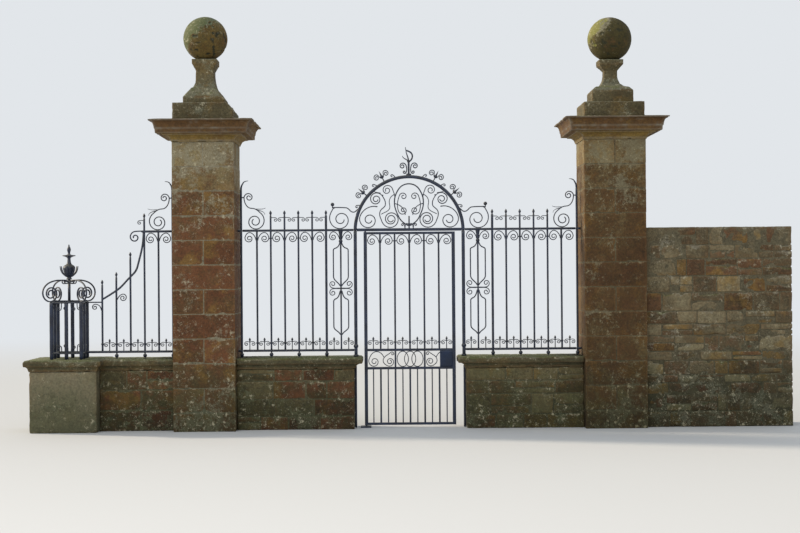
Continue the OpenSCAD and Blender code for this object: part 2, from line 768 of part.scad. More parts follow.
// Thin bar of a lyre: out from the middle, down, and in again over the spikes on the rail
function lyre(s, k, z0, z1) = via([[[s * 8, z0 - 20 * k], [s * 0.2, -1]],
    [[s * 56 * k, z0 - 88 * k], [s, -0.3]],
    [[s * 79 * k, z0 - 112 * k], [0, -1]], [[s * 79 * k, z1 + 128 * k], [0, -1]],
    [[s * 8, z1 + 24 * k], [-s * 0.4, -1]]], 4);
function lyre_foot(s, k, z0, z1) = via([[[s * 8, z0 - 24 * k], [s * 0.3, -1]],
    [[s * 58 * k, z0 - 112 * k], [s, -0.4]], [[s * 79 * k, z0 - 138 * k], [0, -1]],
    [[s * 79 * k, z1 + 240 * k], [0, -1]], [[s * 8, z1 + 150 * k], [-s * 0.4, -1]]], 4);
module pilaster() {
    x0 = post_x + post_w / 2;
    rail_top = transom_z + rail_h / 2;
    rail_low = transom_z - rail_h / 2;
    k = pilaster_unit;
    tip = transom_z + tip_rise;
    color("#2a2e34") {
        rail(x0, pil_x, transom_z, rail_h, rail_d);
        rail(x0, pil_x, low_rail_z, rail_h, rail_d);
        upright(pil_x, coping_top, tip - bud_h + 6, upright_w, upright_w);
        bud(pil_x, tip - bud_h);
        tip_curl(pil_x, 1, tip);
        upright(pil_mid, low_rail_z, rail_top, bar_w - 2, bar_w - 2);
        knob(pil_x, coping_top + low_gap / 2, foot_r);
        // The trumpet and the collar that the lyre's thin bars spring from
        translate([pil_mid, 0, rail_low - trumpet_h]) cylinder(r1 = 13, r2 = 24, h = trumpet_h);
        knob(pil_mid, rail_low - trumpet_h - 14, 21);
        translate([pil_mid, 0, 0]) for (s = [-1, 1]) {
            ribbon(lyre(s, k, rail_low - trumpet_h, quatre_z), thin_w, thin_w);
            ribbon(lyre_foot(s, k, quatre_z, low_rail_top), thin_w, thin_w);
            spike(s * pilaster_w / 4, low_rail_top, pilaster_w / 4 - post_w / 2 - 2);
            // Scrolls under the rail, and the four that ring the collar between the lyres
            crook([s * 12, rail_low - trumpet_h + 6], [s * 0.2, 1],
                [[s * 80 * k, rail_low - 60 * k], 40 * k, s > 0 ? 15 : 165, 1.4, -s],
                small_steps, scroll_t, 0.72);
            for (t = [-1, 1])
                crook([s * 8, quatre_z + t * 2], [s, t * 0.1],
                    [[s * 86 * k, quatre_z + t * 46 * k], 40 * k, quarter(s, t), 1.3, s * t], small_steps);
        }
        collar(pil_mid, quatre_z, 18, bar_w + 8);
        // The large volute over the rail starts at the shoulder of a short bar that is tied to the arch
        cut_to_arch() translate([pil_mid, 0, transom_z]) {
            ribbon(knots_into([[[60 * k, shoulder_rise], [1, -0.1]]],
                [[-3 * k, rail_h / 2 + 100 * k], 128 * k, 35, 1.6, -1], large_steps), scroll_t + 1);
            ribbon(via([[[78 * k, shoulder_rise + 4], [-1, 0]], [[-60 * k, shoulder_rise], [-1, -0.1]],
                [[-130 * k, 190 * k], [-1, -0.2]], [[-192 * k, 226 * k], [-1, 0.8]]], 5), scroll_t + 2);
            knob(84 * k, shoulder_rise + 36, 20);
            upright(84 * k, shoulder_rise - 4, shoulder_rise + 20, 12, 12);
        }
    }
}

// Height of a bracket's straight upright above the middle of the rail
bracket_head = 438;
bracket_unit = (brk_x - screen_x(screen_bars - 1)) / 313;
// Upright beside a pier with its bracket of scrolls above the rail, drawn towards low X
module bracket_at(x, away) {
    head = transom_z + bracket_head;
    wide = upright_w - 4;
    k = bracket_unit;
    small = [[away * 84 * k, 353 * k], 52 * k, away > 0 ? 180 : 0, 1.5, -away];
    large = [[away * 148 * k, 14 + 84 * k], 106 * k, away > 0 ? 50 : 130, 1.8, -away];
    color("#2a2e34") {
        upright(x, coping_top, head, wide, wide);
        knob(x, coping_top + low_gap / 2, foot_r);
        // Short ends of the rails are let into the pier
        for (z = [transom_z, low_rail_z])
            rail(min(x, x - away * pier_gap), max(x, x - away * pier_gap), z, rail_h, rail_d);
        // The head bends over to a point
        ribbon(via([[[x, head - bite], [0, 1]], [[x + away * 24, head + 70], [away * 0.6, 1]],
            [[x + away * 78, head + 92], [away, 0.1]]]), wide, wide - 4, 0.25);
        translate([x, 0, transom_z]) {
            // A stub ties the small volute to the upright
            rail(min(0, away * 34 * k), max(0, away * 34 * k), 353 * k, collar_h, scroll_d);
            ribbon(volute_to(small, [[[away * 112 * k, 238 * k], [away, 0]]], large, large_steps),
                scroll_t + 1);
            // Two leaf tips on the shoulder
            ribbon(via([[[away * 150 * k, 228 * k], [away, 0.1]],
                [[away * 262 * k, 241 * k], [away, 0.5]]], 4), scroll_t, scroll_d, 0.4);
            ribbon(via([[[away * 176 * k, 217 * k], [away, -0.2]],
                [[away * 252 * k, 168 * k], [0, -1]]], 4), scroll_t, scroll_d, 0.4);
        }
    }
}

// Wing railing, drawn outwards from the pier with its rail ramped down to the box standard

wing_bars = 5;
wing_pitch = (standard_reach - pier_gap - standard_w / 2 - link_bay) / wing_bars;
function wing_bar_x(i) = wing_x + wing_pitch * i;
ramp_x = wing_bar_x(2);
ramp_end = wing_bar_x(wing_bars);
ramp_drop = transom_z - standard_top_z;
function down_ramp(x, share) = [ramp_x + x, transom_z - ramp_drop * share];
ramp_path = via([[down_ramp(8, 0.015), [0, -1]], [down_ramp(74, 0.503), [0.25, -1]],
    [down_ramp(162, 0.665), [1, -1]], [down_ramp(300, 0.845), [1, -0.65]],
    [[ramp_end, transom_z - ramp_drop * 0.97], [1, -0.55]]], 5);
// The first bar stops at the rail, the second rises above it, and the rest step down with the ramp
function wing_tip(i) = i == 1 ? transom_z
    : i == 2 ? transom_z + tip_rise - 20
    : transom_z - ramp_drop * [0.29, 0.576, 0.686][i - 3];

module wing_railing() {
    x0 = wing_x + (upright_w - 4) / 2;
    std_side = std_x - standard_w / 2;
    color("#2a2e34") {
        rail(x0, ramp_x + 30, transom_z, rail_h, rail_d);
        ribbon(ramp_path, rail_h - 4, rail_d - 6);
        // The rail runs past the ramp and curls down
        crook([ramp_x + 30 - bite, transom_z + 4], [1, 0],
            [[ramp_x + 98, transom_z - 62], 62, 80, 1.3, -1], 14, scroll_t + 4);
        rail(x0, std_side, low_rail_z, rail_h, rail_d);
        for (i = [1 : wing_bars]) {
            x = wing_bar_x(i);
            tip = wing_tip(i);
            upright(x, low_rail_z, i == 1 ? tip : tip - bud_h + 6, bar_w, bar_w);
            knob(x, low_rail_top + knob_rise, bar_w * 0.78);
            if (i > 1) bud(x, tip - bud_h);
            if (i % 2 == 0) ball_foot(x);
        }
        for (i = [0 : wing_bars - 1])
            spike(wing_bar_x(i) + wing_pitch / 2, low_rail_top, (wing_pitch - upright_w) / 2);
        capital(wing_bar_x(1), transom_z - rail_h / 2, wing_pitch, upright_w / 2);
        // A curl under the ramp, and the link to the box standard with its own
        crook([ramp_x + wing_pitch * 2 - 8, transom_z - ramp_drop * 0.98], [-0.3, 1],
            [[ramp_x + wing_pitch * 1.55, transom_z - ramp_drop * 0.95], 40, 150, 1.3, 1],
            small_steps, scroll_t, 0.5);
        rail(ramp_end, std_side, standard_top_z - 8, 14, rail_d - 6);
        crook([ramp_end + 8, standard_top_z - 96], [0.3, 1],
            [[ramp_end + 78, standard_top_z - 62], 34, 100, 1.3, -1], small_steps, scroll_t, 0.5);
    }
}

// Openwork box standard

cage_w = 38;
band_h = 16;
cage_low = low_rail_z - rail_h / 2 + band_h / 2;
cage_top = standard_top_z - band_h / 2;
module standard_cage() {
    h = standard_w / 2 - cage_w / 2;
    bay = h / 2;
    color("#22262c") translate([std_x, 0, 0]) for (a = [0 : 90 : 270])
        rotate([0, 0, a]) translate([0, -h, 0]) cage_side(h, bay);
}

module cage_side(h, bay) {
    upright(-h, coping_top, standard_top_z, cage_w, cage_w);
    upright(0, coping_top, standard_top_z, cage_w, cage_w - 4);
    for (z = [cage_low, cage_top]) rail(-h, h, z, band_h, cage_w);
    for (s = [-1, 1]) {
        crook([s * (bay - 28), cage_top], [0, -1],
            [[s * bay, cage_top - 62], 25, s > 0 ? 190 : -10, 1.1, s], tiny_steps, 9);
        crook([s * (bay - 28), cage_low], [0, 1],
            [[s * bay, cage_low + 62], 25, s > 0 ? 170 : 10, 1.1, -s], tiny_steps, 9);
    }
}

// Four large scrolls that stand on the corners of the box, drawn up to the foot of the urn
dome_h = 236;
module standard_dome() {
    k = standard_w / 350;
    color("#22262c") translate([std_x, 0, standard_top_z]) intersection() {
        translate([-standard_w, -standard_w, 0]) cube([2 * standard_w, 2 * standard_w, dome_h]);
        dome_scrolls(k);
    }
}

module dome_scrolls(k) {
    union() {
        cylinder(r = 15, h = dome_h);
        translate([-standard_w / 2, -cage_w / 4, 0]) cube([standard_w, cage_w / 2, band_h]);
        translate([-cage_w / 4, -standard_w / 2, 0]) cube([cage_w / 2, standard_w, band_h]);
        for (a = [45 : 90 : 315]) rotate([0, 0, a]) {
            ribbon(knots_into([[[8, dome_h - 26], [1, 0.45]], [[150 * k, dome_h - 8], [1, -0.15]]],
                [[226 * k, 89 * k], 102 * k, 30, 2.2, -1], 14), scroll_t + 3);
            crook([8, dome_h - 36], [1, -0.1], [[70 * k, dome_h - 20], 24, -90, 0.9, 1],
                small_steps, scroll_t, 0.4);
        }
    }
}

// Urn of leaves, with a dish and a pointed tip above it
module standard_finial() {
    color("#22262c") translate([std_x, 0, standard_top_z + dome_h]) {
        rotate_extrude() polygon([[0, 0], [30, 0], [30, 10], [20, 22], [36, 40], [58, 84], [66, 124],
            [56, 146], [34, 158], [22, 172], [16, 214], [18, 232], [46, 244], [70, 250], [70, 258], [24, 262],
            [13, 270], [13, 288], [21, 312], [18, 334], [6, 356], [8, 364], [0, 376]]);
        for (a = [0 : 45 : 135]) rotate([0, 0, a])
            both() ribbon(via([[[24, 30], [1, 0.6]], [[88, 100], [0.3, 1]],
                [[96, 142], [0.2, 1]]], 4), 13, 24, 0.5);
    }
}

module left() {
    mirror([1, 0, 0]) children();
}

left() pier_shaft();  // left_pier_shaft
left() pier_cap();  // left_pier_cap
left() broken_pedestal();  // left_finial_pedestal
left() finial_ball(left_finial);  // left_finial_ball
pier_shaft();  // right_pier_shaft
pier_cap();  // right_pier_cap
finial_pedestal(right_finial);  // right_finial_pedestal
finial_ball(right_finial);  // right_finial_ball
left() dwarf_wall();  // left_dwarf_wall
left() coping();  // left_coping
dwarf_wall();  // right_dwarf_wall
coping();  // right_coping
left() wing_wall();
left() wing_coping();
left() standard_base();
left() standard_base_cap();
boundary_wall();
left() gate_post();  // left_gate_post
gate_post();  // right_gate_post
arch_bar();
transom();
overthrow_scrolls();
arch_finial();
left() crockets();  // left_crockets
crockets();  // right_crockets
hinge_stile();
lock_stile();
leaf_rails();
leaf_upper_panel();
leaf_lock_band();
leaf_lower_panel();
lock_case();
lock_keep();
footstep_plate();
left() pilaster();  // left_pilaster
pilaster();  // right_pilaster
left() screen();  // left_screen
screen();  // right_screen
left() bracket_at(brk_x, -1);  // left_pier_bracket
bracket_at(brk_x, -1);  // right_pier_bracket
left() wing_railing();
left() bracket_at(wing_x, 1);  // wing_bracket
left() standard_cage();
left() standard_dome();
left() standard_finial();
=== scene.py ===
"""Garden gateway of stone and wrought iron, dressed for rendering.

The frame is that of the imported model: X along the gateway, Y towards the garden and Z up.
Shapes are worked out as whole numpy arrays: a profile carried round a rectangle for the masonry,
and a section carried along a path for the ironwork.  Lengths are in metres, except that the
ironwork is drawn in millimetres and turned to metres when a piece is gathered.
"""
import logging
import math
from collections.abc import Sequence
from dataclasses import dataclass, replace
from enum import Enum

import bpy
import numpy as np
from mathutils import Matrix, Vector


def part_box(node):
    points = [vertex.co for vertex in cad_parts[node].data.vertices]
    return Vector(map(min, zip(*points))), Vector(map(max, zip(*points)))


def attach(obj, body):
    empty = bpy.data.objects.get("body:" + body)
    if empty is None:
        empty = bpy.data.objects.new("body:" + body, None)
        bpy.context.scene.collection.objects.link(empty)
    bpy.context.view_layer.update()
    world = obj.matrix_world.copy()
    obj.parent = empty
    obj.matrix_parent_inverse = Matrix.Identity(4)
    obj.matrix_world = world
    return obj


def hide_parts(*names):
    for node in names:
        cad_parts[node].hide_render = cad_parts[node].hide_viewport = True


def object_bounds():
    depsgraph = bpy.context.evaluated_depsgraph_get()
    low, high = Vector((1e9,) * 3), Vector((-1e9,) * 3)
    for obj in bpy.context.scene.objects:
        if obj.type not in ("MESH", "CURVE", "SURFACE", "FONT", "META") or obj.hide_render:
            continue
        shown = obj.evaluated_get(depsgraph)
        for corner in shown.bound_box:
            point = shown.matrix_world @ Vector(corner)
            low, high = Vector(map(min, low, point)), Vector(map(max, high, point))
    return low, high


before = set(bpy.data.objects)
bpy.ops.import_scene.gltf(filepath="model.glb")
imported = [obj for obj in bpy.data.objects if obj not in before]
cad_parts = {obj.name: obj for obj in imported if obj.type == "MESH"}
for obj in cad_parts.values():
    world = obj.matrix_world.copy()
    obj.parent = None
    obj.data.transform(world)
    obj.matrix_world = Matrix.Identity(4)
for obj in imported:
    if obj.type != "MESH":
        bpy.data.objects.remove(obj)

CAD_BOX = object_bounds()
LOG = logging.getLogger("gateway")
IMAGE_WIDTH = 800
IMAGE_HEIGHT = 533

Node = bpy.types.Node
Socket = bpy.types.NodeSocket
Tree = bpy.types.NodeTree
Material = bpy.types.Material
Array = np.ndarray
Value = float | tuple | Socket
Colour = tuple[int, int, int]
Pair = tuple[float, float]
Outputs = bpy.types.bpy_prop_collection
Inputs = dict[str | int, Value]
Line = Array | Sequence[Sequence[float]]


def link(obj: bpy.types.Object) -> None:
    """Put an object into the scene."""
    bpy.context.scene.collection.objects.link(obj)


# Numbers that stand for randomness


def lattice_value(cells: Array, seed: int) -> Array:
    """Give every lattice point a fixed pseudo-random value.

    Formula: multiply the three indices by large odd numbers, add them, and stir the sum with
    shifts and exclusive-ors; the result is spread over -1 to 1.

    Args:
        cells: integer lattice indices, shape (..., 3).
        seed: number of the pattern.

    Returns:
        Values from -1 to 1, shape (...).
    """
    x, y, z = (cells[..., k].astype(np.uint32) for k in range(3))
    h = x * np.uint32(374761393) + y * np.uint32(668265263) + z * np.uint32(2246822519)
    h = h + np.uint32((seed * 3266489917) & 0xFFFFFFFF)
    h = (h ^ (h >> np.uint32(15))) * np.uint32(2246822519)
    h = (h ^ (h >> np.uint32(13))) * np.uint32(3266489917)
    h = h ^ (h >> np.uint32(16))
    return h.astype(np.float64) / 2147483647.5 - 1.0


def noise(points: Array, cell: float, seed: int = 0) -> Array:
    """Smooth noise in space.

    Formula: the values of the eight lattice points round a point, blended along each axis with
    three times the square less twice the cube of the fraction.

    Args:
        points: positions, shape (..., 3).
        cell: side of a lattice cell.
        seed: number of the pattern.

    Returns:
        Values from -1 to 1, shape (...).
    """
    scaled = points / cell
    base = np.floor(scaled)
    part = scaled - base
    part = part * part * (3.0 - 2.0 * part)
    base = base.astype(np.int64)
    total = np.zeros(points.shape[:-1])
    for corner in range(8):
        step = np.array([corner & 1, corner >> 1 & 1, corner >> 2 & 1])
        weight = np.prod(np.where(step, part, 1.0 - part), axis=-1)
        total += weight * lattice_value(base + step, seed)
    return total


def layered(points: Array, cell: float, octaves: int, seed: int = 0) -> Array:
    """Sum of noises, each with half the cell and half the strength of the one before it."""
    total = sum(noise(points, cell / 2**k, seed + 17 * k) / 2**k for k in range(octaves))
    return total / (2.0 - 2.0 ** (1 - octaves))


def smoothstep(low: float, high: float, value: Array) -> Array:
    """Ease from 0 at low to 1 at high: three times the square less twice the cube."""
    share = np.clip((value - low) / (high - low), 0.0, 1.0)
    return share * share * (3.0 - 2.0 * share)


# Surfaces


@dataclass
class Surface:
    """Points and faces of a piece, with a tone at each point.

    The tone's three shares are the kind of stone (0 pale to 1 red), its shade, and how worn the
    point is.
    """

    points: Array
    quads: Array
    triangles: Array
    tone: Array

    @staticmethod
    def of_rings(rings: Array, tone: Array | None = None) -> "Surface":
        """Close a stack of rings at both ends with a fan of triangles.

        Args:
            rings: positions, shape (rows, columns, 3); columns run anticlockwise seen against the
                direction of the rows, so that faces point outwards.
            tone: shares for each point, shape (rows, columns, 3).

        Returns:
            The closed surface.
        """
        rows, cols = rings.shape[:2]
        if tone is None:
            tone = np.zeros(rings.shape)
        index = np.arange(rows * cols).reshape(rows, cols)
        after = np.roll(index, -1, axis=1)
        quads = np.stack([index[:-1], after[:-1], after[1:], index[1:]], axis=-1).reshape(-1, 4)
        low, high = rows * cols, rows * cols + 1
        foot = np.stack([after[0], index[0], np.full(cols, low)], axis=-1)
        head = np.stack([index[-1], after[-1], np.full(cols, high)], axis=-1)
        poles = np.stack([rings[0].mean(axis=0), rings[-1].mean(axis=0)])
        ends = np.stack([tone[0].mean(axis=0), tone[-1].mean(axis=0)])
        return Surface(
            np.concatenate([rings.reshape(-1, 3), poles]),
            quads,
            np.concatenate([foot, head]),
            np.concatenate([tone.reshape(-1, 3), ends]),
        )

    @staticmethod
    def merged(parts: list["Surface"]) -> "Surface":
        """Put several surfaces into one, each keeping its own points."""
        starts = np.cumsum([0] + [len(p.points) for p in parts[:-1]])
        return Surface(
            np.concatenate([p.points for p in parts]),
            np.concatenate([p.quads + s for p, s in zip(parts, starts)]),
            np.concatenate([p.triangles + s for p, s in zip(parts, starts)]),
            np.concatenate([p.tone for p in parts]),
        )

    def mirrored(self) -> "Surface":
        """The same surface on the other side of the gateway, its faces turned to point outwards."""
        points = self.points * np.array([-1.0, 1.0, 1.0])
        return Surface(points, self.quads[:, ::-1], self.triangles[:, ::-1], self.tone)

    def to_object(self, name: str) -> bpy.types.Object:
        """Make a smooth Blender object of the surface, with its tone as a colour attribute.

        Args:
            name: name of the object and its mesh.

        Returns:
            The new object, linked to the scene.
        """
        mesh = bpy.data.meshes.new(name)
        corners = np.concatenate([self.quads.ravel(), self.triangles.ravel()])
        starts = np.concatenate(
            [np.arange(len(self.quads)) * 4, len(self.quads) * 4 + np.arange(len(self.triangles)) * 3]
        )
        mesh.vertices.add(len(self.points))
        mesh.vertices.foreach_set("co", self.points.astype(np.float32).ravel())
        mesh.loops.add(len(corners))
        mesh.loops.foreach_set("vertex_index", corners.astype(np.int32))
        mesh.polygons.add(len(starts))
        mesh.polygons.foreach_set("loop_start", starts.astype(np.int32))
        mesh.update(calc_edges=True)
        mesh.polygons.foreach_set("use_smooth", np.ones(len(starts), bool))
        tone = mesh.attributes.new("tone", "FLOAT_COLOR", "POINT")
        shares = np.concatenate([self.tone, np.ones((len(self.tone), 1))], axis=1)
        tone.data.foreach_set("color", shares.astype(np.float32).ravel())
        obj = bpy.data.objects.new(name, mesh)
        link(obj)
        return obj


def grid_normals(rings: Array) -> Array:
    """Unit normals of a stack of rings: the step along a ring crossed with the step between rings."""
    along = np.roll(rings, -1, axis=1) - np.roll(rings, 1, axis=1)
    across = np.gradient(rings, axis=0)
    normal = np.cross(along, across)
    return normal / np.maximum(np.linalg.norm(normal, axis=-1, keepdims=True), 1e-12)


NEAR_CORNER = np.array([0.0, 0.3, 0.7, 1.0, 1.8])
END_SCALE = 0.2


def side_steps(half: float, radius: float, spacing: float) -> Array:
    """Places along a side of a rectangle, as shares of its half length, with more near its ends.

    Args:
        half: half the length of the side.
        radius: radius of the corner's rounding.
        spacing: greatest distance between places in the middle.

    Returns:
        Shares from -1 up to, but without, 1.
    """
    near = 1.0 - radius / half * NEAR_CORNER
    count = max(2, math.ceil(2 * half * near[-1] / spacing))
    middle = np.linspace(-near[-1], near[-1], count + 1)
    return np.concatenate([-near[:-1], middle, near[-2:0:-1]])


@dataclass(frozen=True)
class Plan:
    """Rectangle that a profile is carried round, with the share of the overhang at its ends."""

    x0: float
    x1: float
    y0: float
    y1: float
    left: float = 1.0
    right: float = 1.0

    def rings(
        self, profile: Array, z: float, radius: float, spacing: float
    ) -> tuple[Array, Array]:
        """Carry a profile round the rectangle.

        Formula: a ring is the rectangle grown by the row's overhang and then scaled about its
        middle by the row's scale.  A corner is rounded by pulling a point back into the rectangle
        less the radius and pushing it out by the radius along the same line.

        Args:
            profile: rows of overhang, height and scale, shape (rows, 3).
            z: height of the profile's foot.
            radius: radius of the vertical arrises.
            spacing: distance between points along a side.

        Returns:
            Positions, shape (rows, columns, 3), and the distance of each column from the nearest
            corner, shape (columns,).
        """
        half = np.array([self.x1 - self.x0, self.y1 - self.y0]) / 2
        middle = np.array([self.x0 + self.x1, self.y0 + self.y1]) / 2
        tx = side_steps(half[0], radius, spacing)
        ty = side_steps(half[1], radius, spacing)
        unit = np.concatenate(
            [
                np.stack([np.ones_like(ty), ty], axis=1),
                np.stack([-tx, np.ones_like(tx)], axis=1),
                np.stack([-np.ones_like(ty), -ty], axis=1),
                np.stack([tx, -np.ones_like(tx)], axis=1),
            ]
        )
        edge = (1 - np.abs(unit)) * half
        on_end = np.abs(unit[:, 0]) >= np.abs(unit[:, 1])
        corner = np.where(on_end, edge[:, 1], edge[:, 0])
        over, height, scale = profile[:, 0, None], profile[:, 1, None], profile[:, 2, None, None]
        grow_x = np.where(unit[:, 0] > 0, self.right, self.left)
        sides = half + over[..., None] * np.stack([grow_x, np.ones_like(grow_x)], axis=1)
        flat = unit * sides
        room = np.maximum(sides - radius, 0.0)
        inner = np.clip(flat, -room, room)
        out = flat - inner
        length = np.linalg.norm(out, axis=-1, keepdims=True)
        flat = inner + out / np.maximum(length, 1e-9) * np.minimum(length, radius)
        flat = flat * scale + middle
        heights = np.broadcast_to(height + z, flat.shape[:2])
        return np.concatenate([flat, heights[..., None]], axis=2), corner


def moulded(points: list[Pair], spacing: float) -> Array:
    """Break a profile's straight lines into short rows and close it at its foot and head.

    Args:
        points: overhang and height of each corner of the profile, from the foot up.
        spacing: greatest distance between rows.

    Returns:
        Rows of overhang, height and scale; the first and last rows are drawn in to a fifth.
    """
    corners = np.array(points, float)
    steps = np.linalg.norm(np.diff(corners, axis=0), axis=1)
    counts = np.maximum(1, np.ceil(steps / spacing).astype(int))
    rows = [
        corners[i] + (corners[i + 1] - corners[i]) * (np.arange(n) / n)[:, None] for i, n in enumerate(counts)
    ]
    line = np.concatenate(rows + [corners[-1:]])
    line = np.concatenate([line[:1], line, line[-1:]])
    scale = np.ones((len(line), 1))
    scale[0] = scale[-1] = END_SCALE
    return np.concatenate([line, scale], axis=1)


def hollow(x0: float, z0: float, x1: float, z1: float, count: int) -> list[Pair]:
    """Quarter hollow between two points of a profile, steep at its foot."""
    turn = np.linspace(0, math.pi / 2, count + 1)
    return list(zip(x1 - (x1 - x0) * np.cos(turn), z0 + (z1 - z0) * np.sin(turn)))


def arris_share(profile: Array, reach: float) -> Array:
    """How near each row is to an outward corner of its profile, from 0 to 1.

    Formula: the turn of the line at a row, counted where it turns away from the stone, spread
    over its neighbours with a weight that falls off with distance.
    """
    line = profile[:, :2]
    step = np.diff(line, axis=0)
    step = step / np.maximum(np.linalg.norm(step, axis=1, keepdims=True), 1e-9)
    turn = np.zeros(len(line))
    turn[1:-1] = np.clip(step[:-1, 0] * step[1:, 1] - step[:-1, 1] * step[1:, 0], 0, 1)
    gap = np.linalg.norm(line[:, None] - line[None], axis=-1)
    return np.clip((np.exp(-((gap / reach) ** 2)) * turn).max(axis=1), 0, 1)


@dataclass(frozen=True)
class Wear:
    """How time has treated a stone: depths in metres, and the number of its pattern."""

    round_off: float
    rough: float
    chips: float
    pits: float
    seed: int
    reach: float = 0.016

    def apply(self, rings: Array, arris: Array) -> tuple[Array, Array]:
        """Push a stone's surface in along its normals.

        Formula: the depth is the rounding-off at the arrises, with chips where a broad noise is
        high, plus a rough skin of layered noise and pits where a small noise is high.

        Args:
            rings: positions, shape (rows, columns, 3).
            arris: nearness to an arris, shape (rows, columns), 0 to 1.

        Returns:
            The worn positions, and how worn each point is, 0 to 1.
        """
        broad = layered(rings, 0.16, 3, self.seed)
        chip = smoothstep(0.25, 0.7, noise(rings, 0.07, self.seed + 3)) * arris
        pit = smoothstep(0.35, 0.7, noise(rings, 0.03, self.seed + 5))
        depth = arris * self.round_off * (1.1 + broad) + chip * self.chips + pit * self.pits
        depth = depth - self.rough * layered(rings, 0.09, 4, self.seed + 7)
        worn = rings - grid_normals(rings) * depth[..., None]
        return worn, np.clip(arris * 0.6 + chip + 0.3 * pit, 0, 1)


def masonry(
    plan: Plan, profile: Array, z: float, wear: Wear, tone: Pair, radius: float, spacing: float
) -> Surface:
    """A dressed stone: a profile carried round a rectangle, and worn.

    Args:
        plan: the rectangle.
        profile: rows of overhang, height and scale.
        z: height of its foot.
        wear: how it is worn.
        tone: kind and shade of the stone, each 0 to 1.
        radius: rounding of the vertical arrises.
        spacing: distance between points along a side.

    Returns:
        The stone's surface.
    """
    rings, corner = plan.rings(profile, z, radius, spacing)
    upright = np.exp(-((corner / wear.reach) ** 2))[None]
    arris = np.maximum(arris_share(profile, wear.reach)[:, None], upright)
    arris[0] = arris[-1] = 0.0
    rings, worn = wear.apply(rings, arris)
    shares = np.broadcast_to(np.array(tone), (*worn.shape, 2))
    return Surface.of_rings(rings, np.concatenate([shares, worn[..., None]], axis=-1))


def block(lo: Array, hi: Array, wear: Wear, tone: Pair, radius: float, spacing: float) -> Surface:
    """A squared stone between two corners, its arrises rounded with a quarter circle."""
    tall = hi[2] - lo[2]
    turn = np.array([0.0, 0.5, 1.0]) * math.pi / 2
    foot = list(zip(-radius * (1 - np.sin(turn)), radius * (1 - np.cos(turn))))
    head = [(x, tall - z) for x, z in reversed(foot)]
    plan = Plan(lo[0], hi[0], lo[1], hi[1])
    return masonry(plan, moulded(foot + head, spacing), lo[2], wear, tone, radius, spacing)


# Shader wiring


def paint(colour: Colour) -> tuple[float, float, float, float]:
    """Turn a colour written in display values, 0 to 255, into the light values of a shader."""
    share = np.array(colour) / 255.0
    light = np.where(share <= 0.04045, share / 12.92, ((share + 0.055) / 1.055) ** 2.4)
    return (*map(float, light), 1.0)


class Wiring:
    """Adds nodes to one shader tree and links their sockets."""

    def __init__(self, tree: Tree) -> None:
        """Keep the tree that the nodes go into."""
        self.tree = tree

    def feed(self, node: Node, inputs: Inputs) -> Node:
        """Link sockets to a node's inputs, or set their values, by name or number."""
        for key, value in inputs.items():
            if isinstance(value, Socket):
                self.tree.links.new(value, node.inputs[key])
            else:
                node.inputs[key].default_value = value
        return node

    def add(self, kind: str, inputs: Inputs | None = None, **settings) -> Node:
        """Add a node.

        Args:
            kind: class name of the node.
            inputs: values or sockets for its inputs, by name or number.
            settings: the node's own settings.

        Returns:
            The new node.
        """
        node = self.tree.nodes.new(kind)
        for name, value in settings.items():
            setattr(node, name, value)
        return self.feed(node, inputs or {})

    def group(self, tree: Tree, **inputs: Value) -> Outputs:
        """Place a shared group and give its outputs."""
        return self.add("ShaderNodeGroup", inputs, node_tree=tree).outputs

    def math(self, operation: str, a: Value, b: Value = 0.0, clamp: bool = False) -> Socket:
        """Work out one sum of two numbers or sockets."""
        return self.add("ShaderNodeMath", {0: a, 1: b}, operation=operation, use_clamp=clamp).outputs[0]

    def plus(self, a: Value, b: Value, share: Value, clamp: bool = False) -> Socket:
        """Add a share of b to a."""
        sums = {0: b, 1: share, 2: a}
        return self.add("ShaderNodeMath", sums, operation="MULTIPLY_ADD", use_clamp=clamp).outputs[0]

    def ramp(self, factor: Value, stops: list[tuple[float, tuple]]) -> Socket:
        """Map a factor through colour stops."""
        node = self.add("ShaderNodeValToRGB", {0: factor})
        elements = node.color_ramp.elements
        while len(elements) < len(stops):
            elements.new(0.5)
        for element, (place, colour) in zip(elements, stops):
            element.position = place
            element.color = colour
        return node.outputs[0]

    def step(self, value: Value, low: float, high: float) -> Socket:
        """Ease a value from 0 at low to 1 at high."""
        inputs = {0: value, 1: low, 2: high}
        return self.add("ShaderNodeMapRange", inputs, interpolation_type="SMOOTHSTEP").outputs[0]

    def blend(self, factor: Value, a: Value, b: Value, mode: str = "MIX") -> Socket:
        """Blend two colours."""
        inputs = {0: factor, 6: a, 7: b}
        return self.add("ShaderNodeMix", inputs, data_type="RGBA", blend_type=mode).outputs[2]

    def noise(self, vector: Socket, scale: float, detail: float = 4.0, rough: float = 0.55) -> Socket:
        """Noise on a vector."""
        inputs = {"Vector": vector, "Scale": scale, "Detail": detail, "Roughness": rough}
        return self.add("ShaderNodeTexNoise", inputs).outputs[0]


NUMBER = "NodeSocketFloat"


class Group(Wiring):
    """A shader node group in the making."""

    def __init__(self, name: str, inputs: dict[str, float], outputs: list[str]) -> None:
        """Start the group.

        Args:
            name: name of the group.
            inputs: its number inputs and their values.
            outputs: names of its number outputs.
        """
        super().__init__(bpy.data.node_groups.new(name, "ShaderNodeTree"))
        face = self.tree.interface
        for label, value in inputs.items():
            face.new_socket(name=label, in_out="INPUT", socket_type=NUMBER).default_value = value
        for label in outputs:
            face.new_socket(name=label, in_out="OUTPUT", socket_type=NUMBER)
        self.given = self.add("NodeGroupInput").outputs
        self.sink = self.add("NodeGroupOutput")

    def done(self, **results: Socket) -> Tree:
        """Link the results to the group's outputs and hand over its tree."""
        self.feed(self.sink, results)
        return self.tree


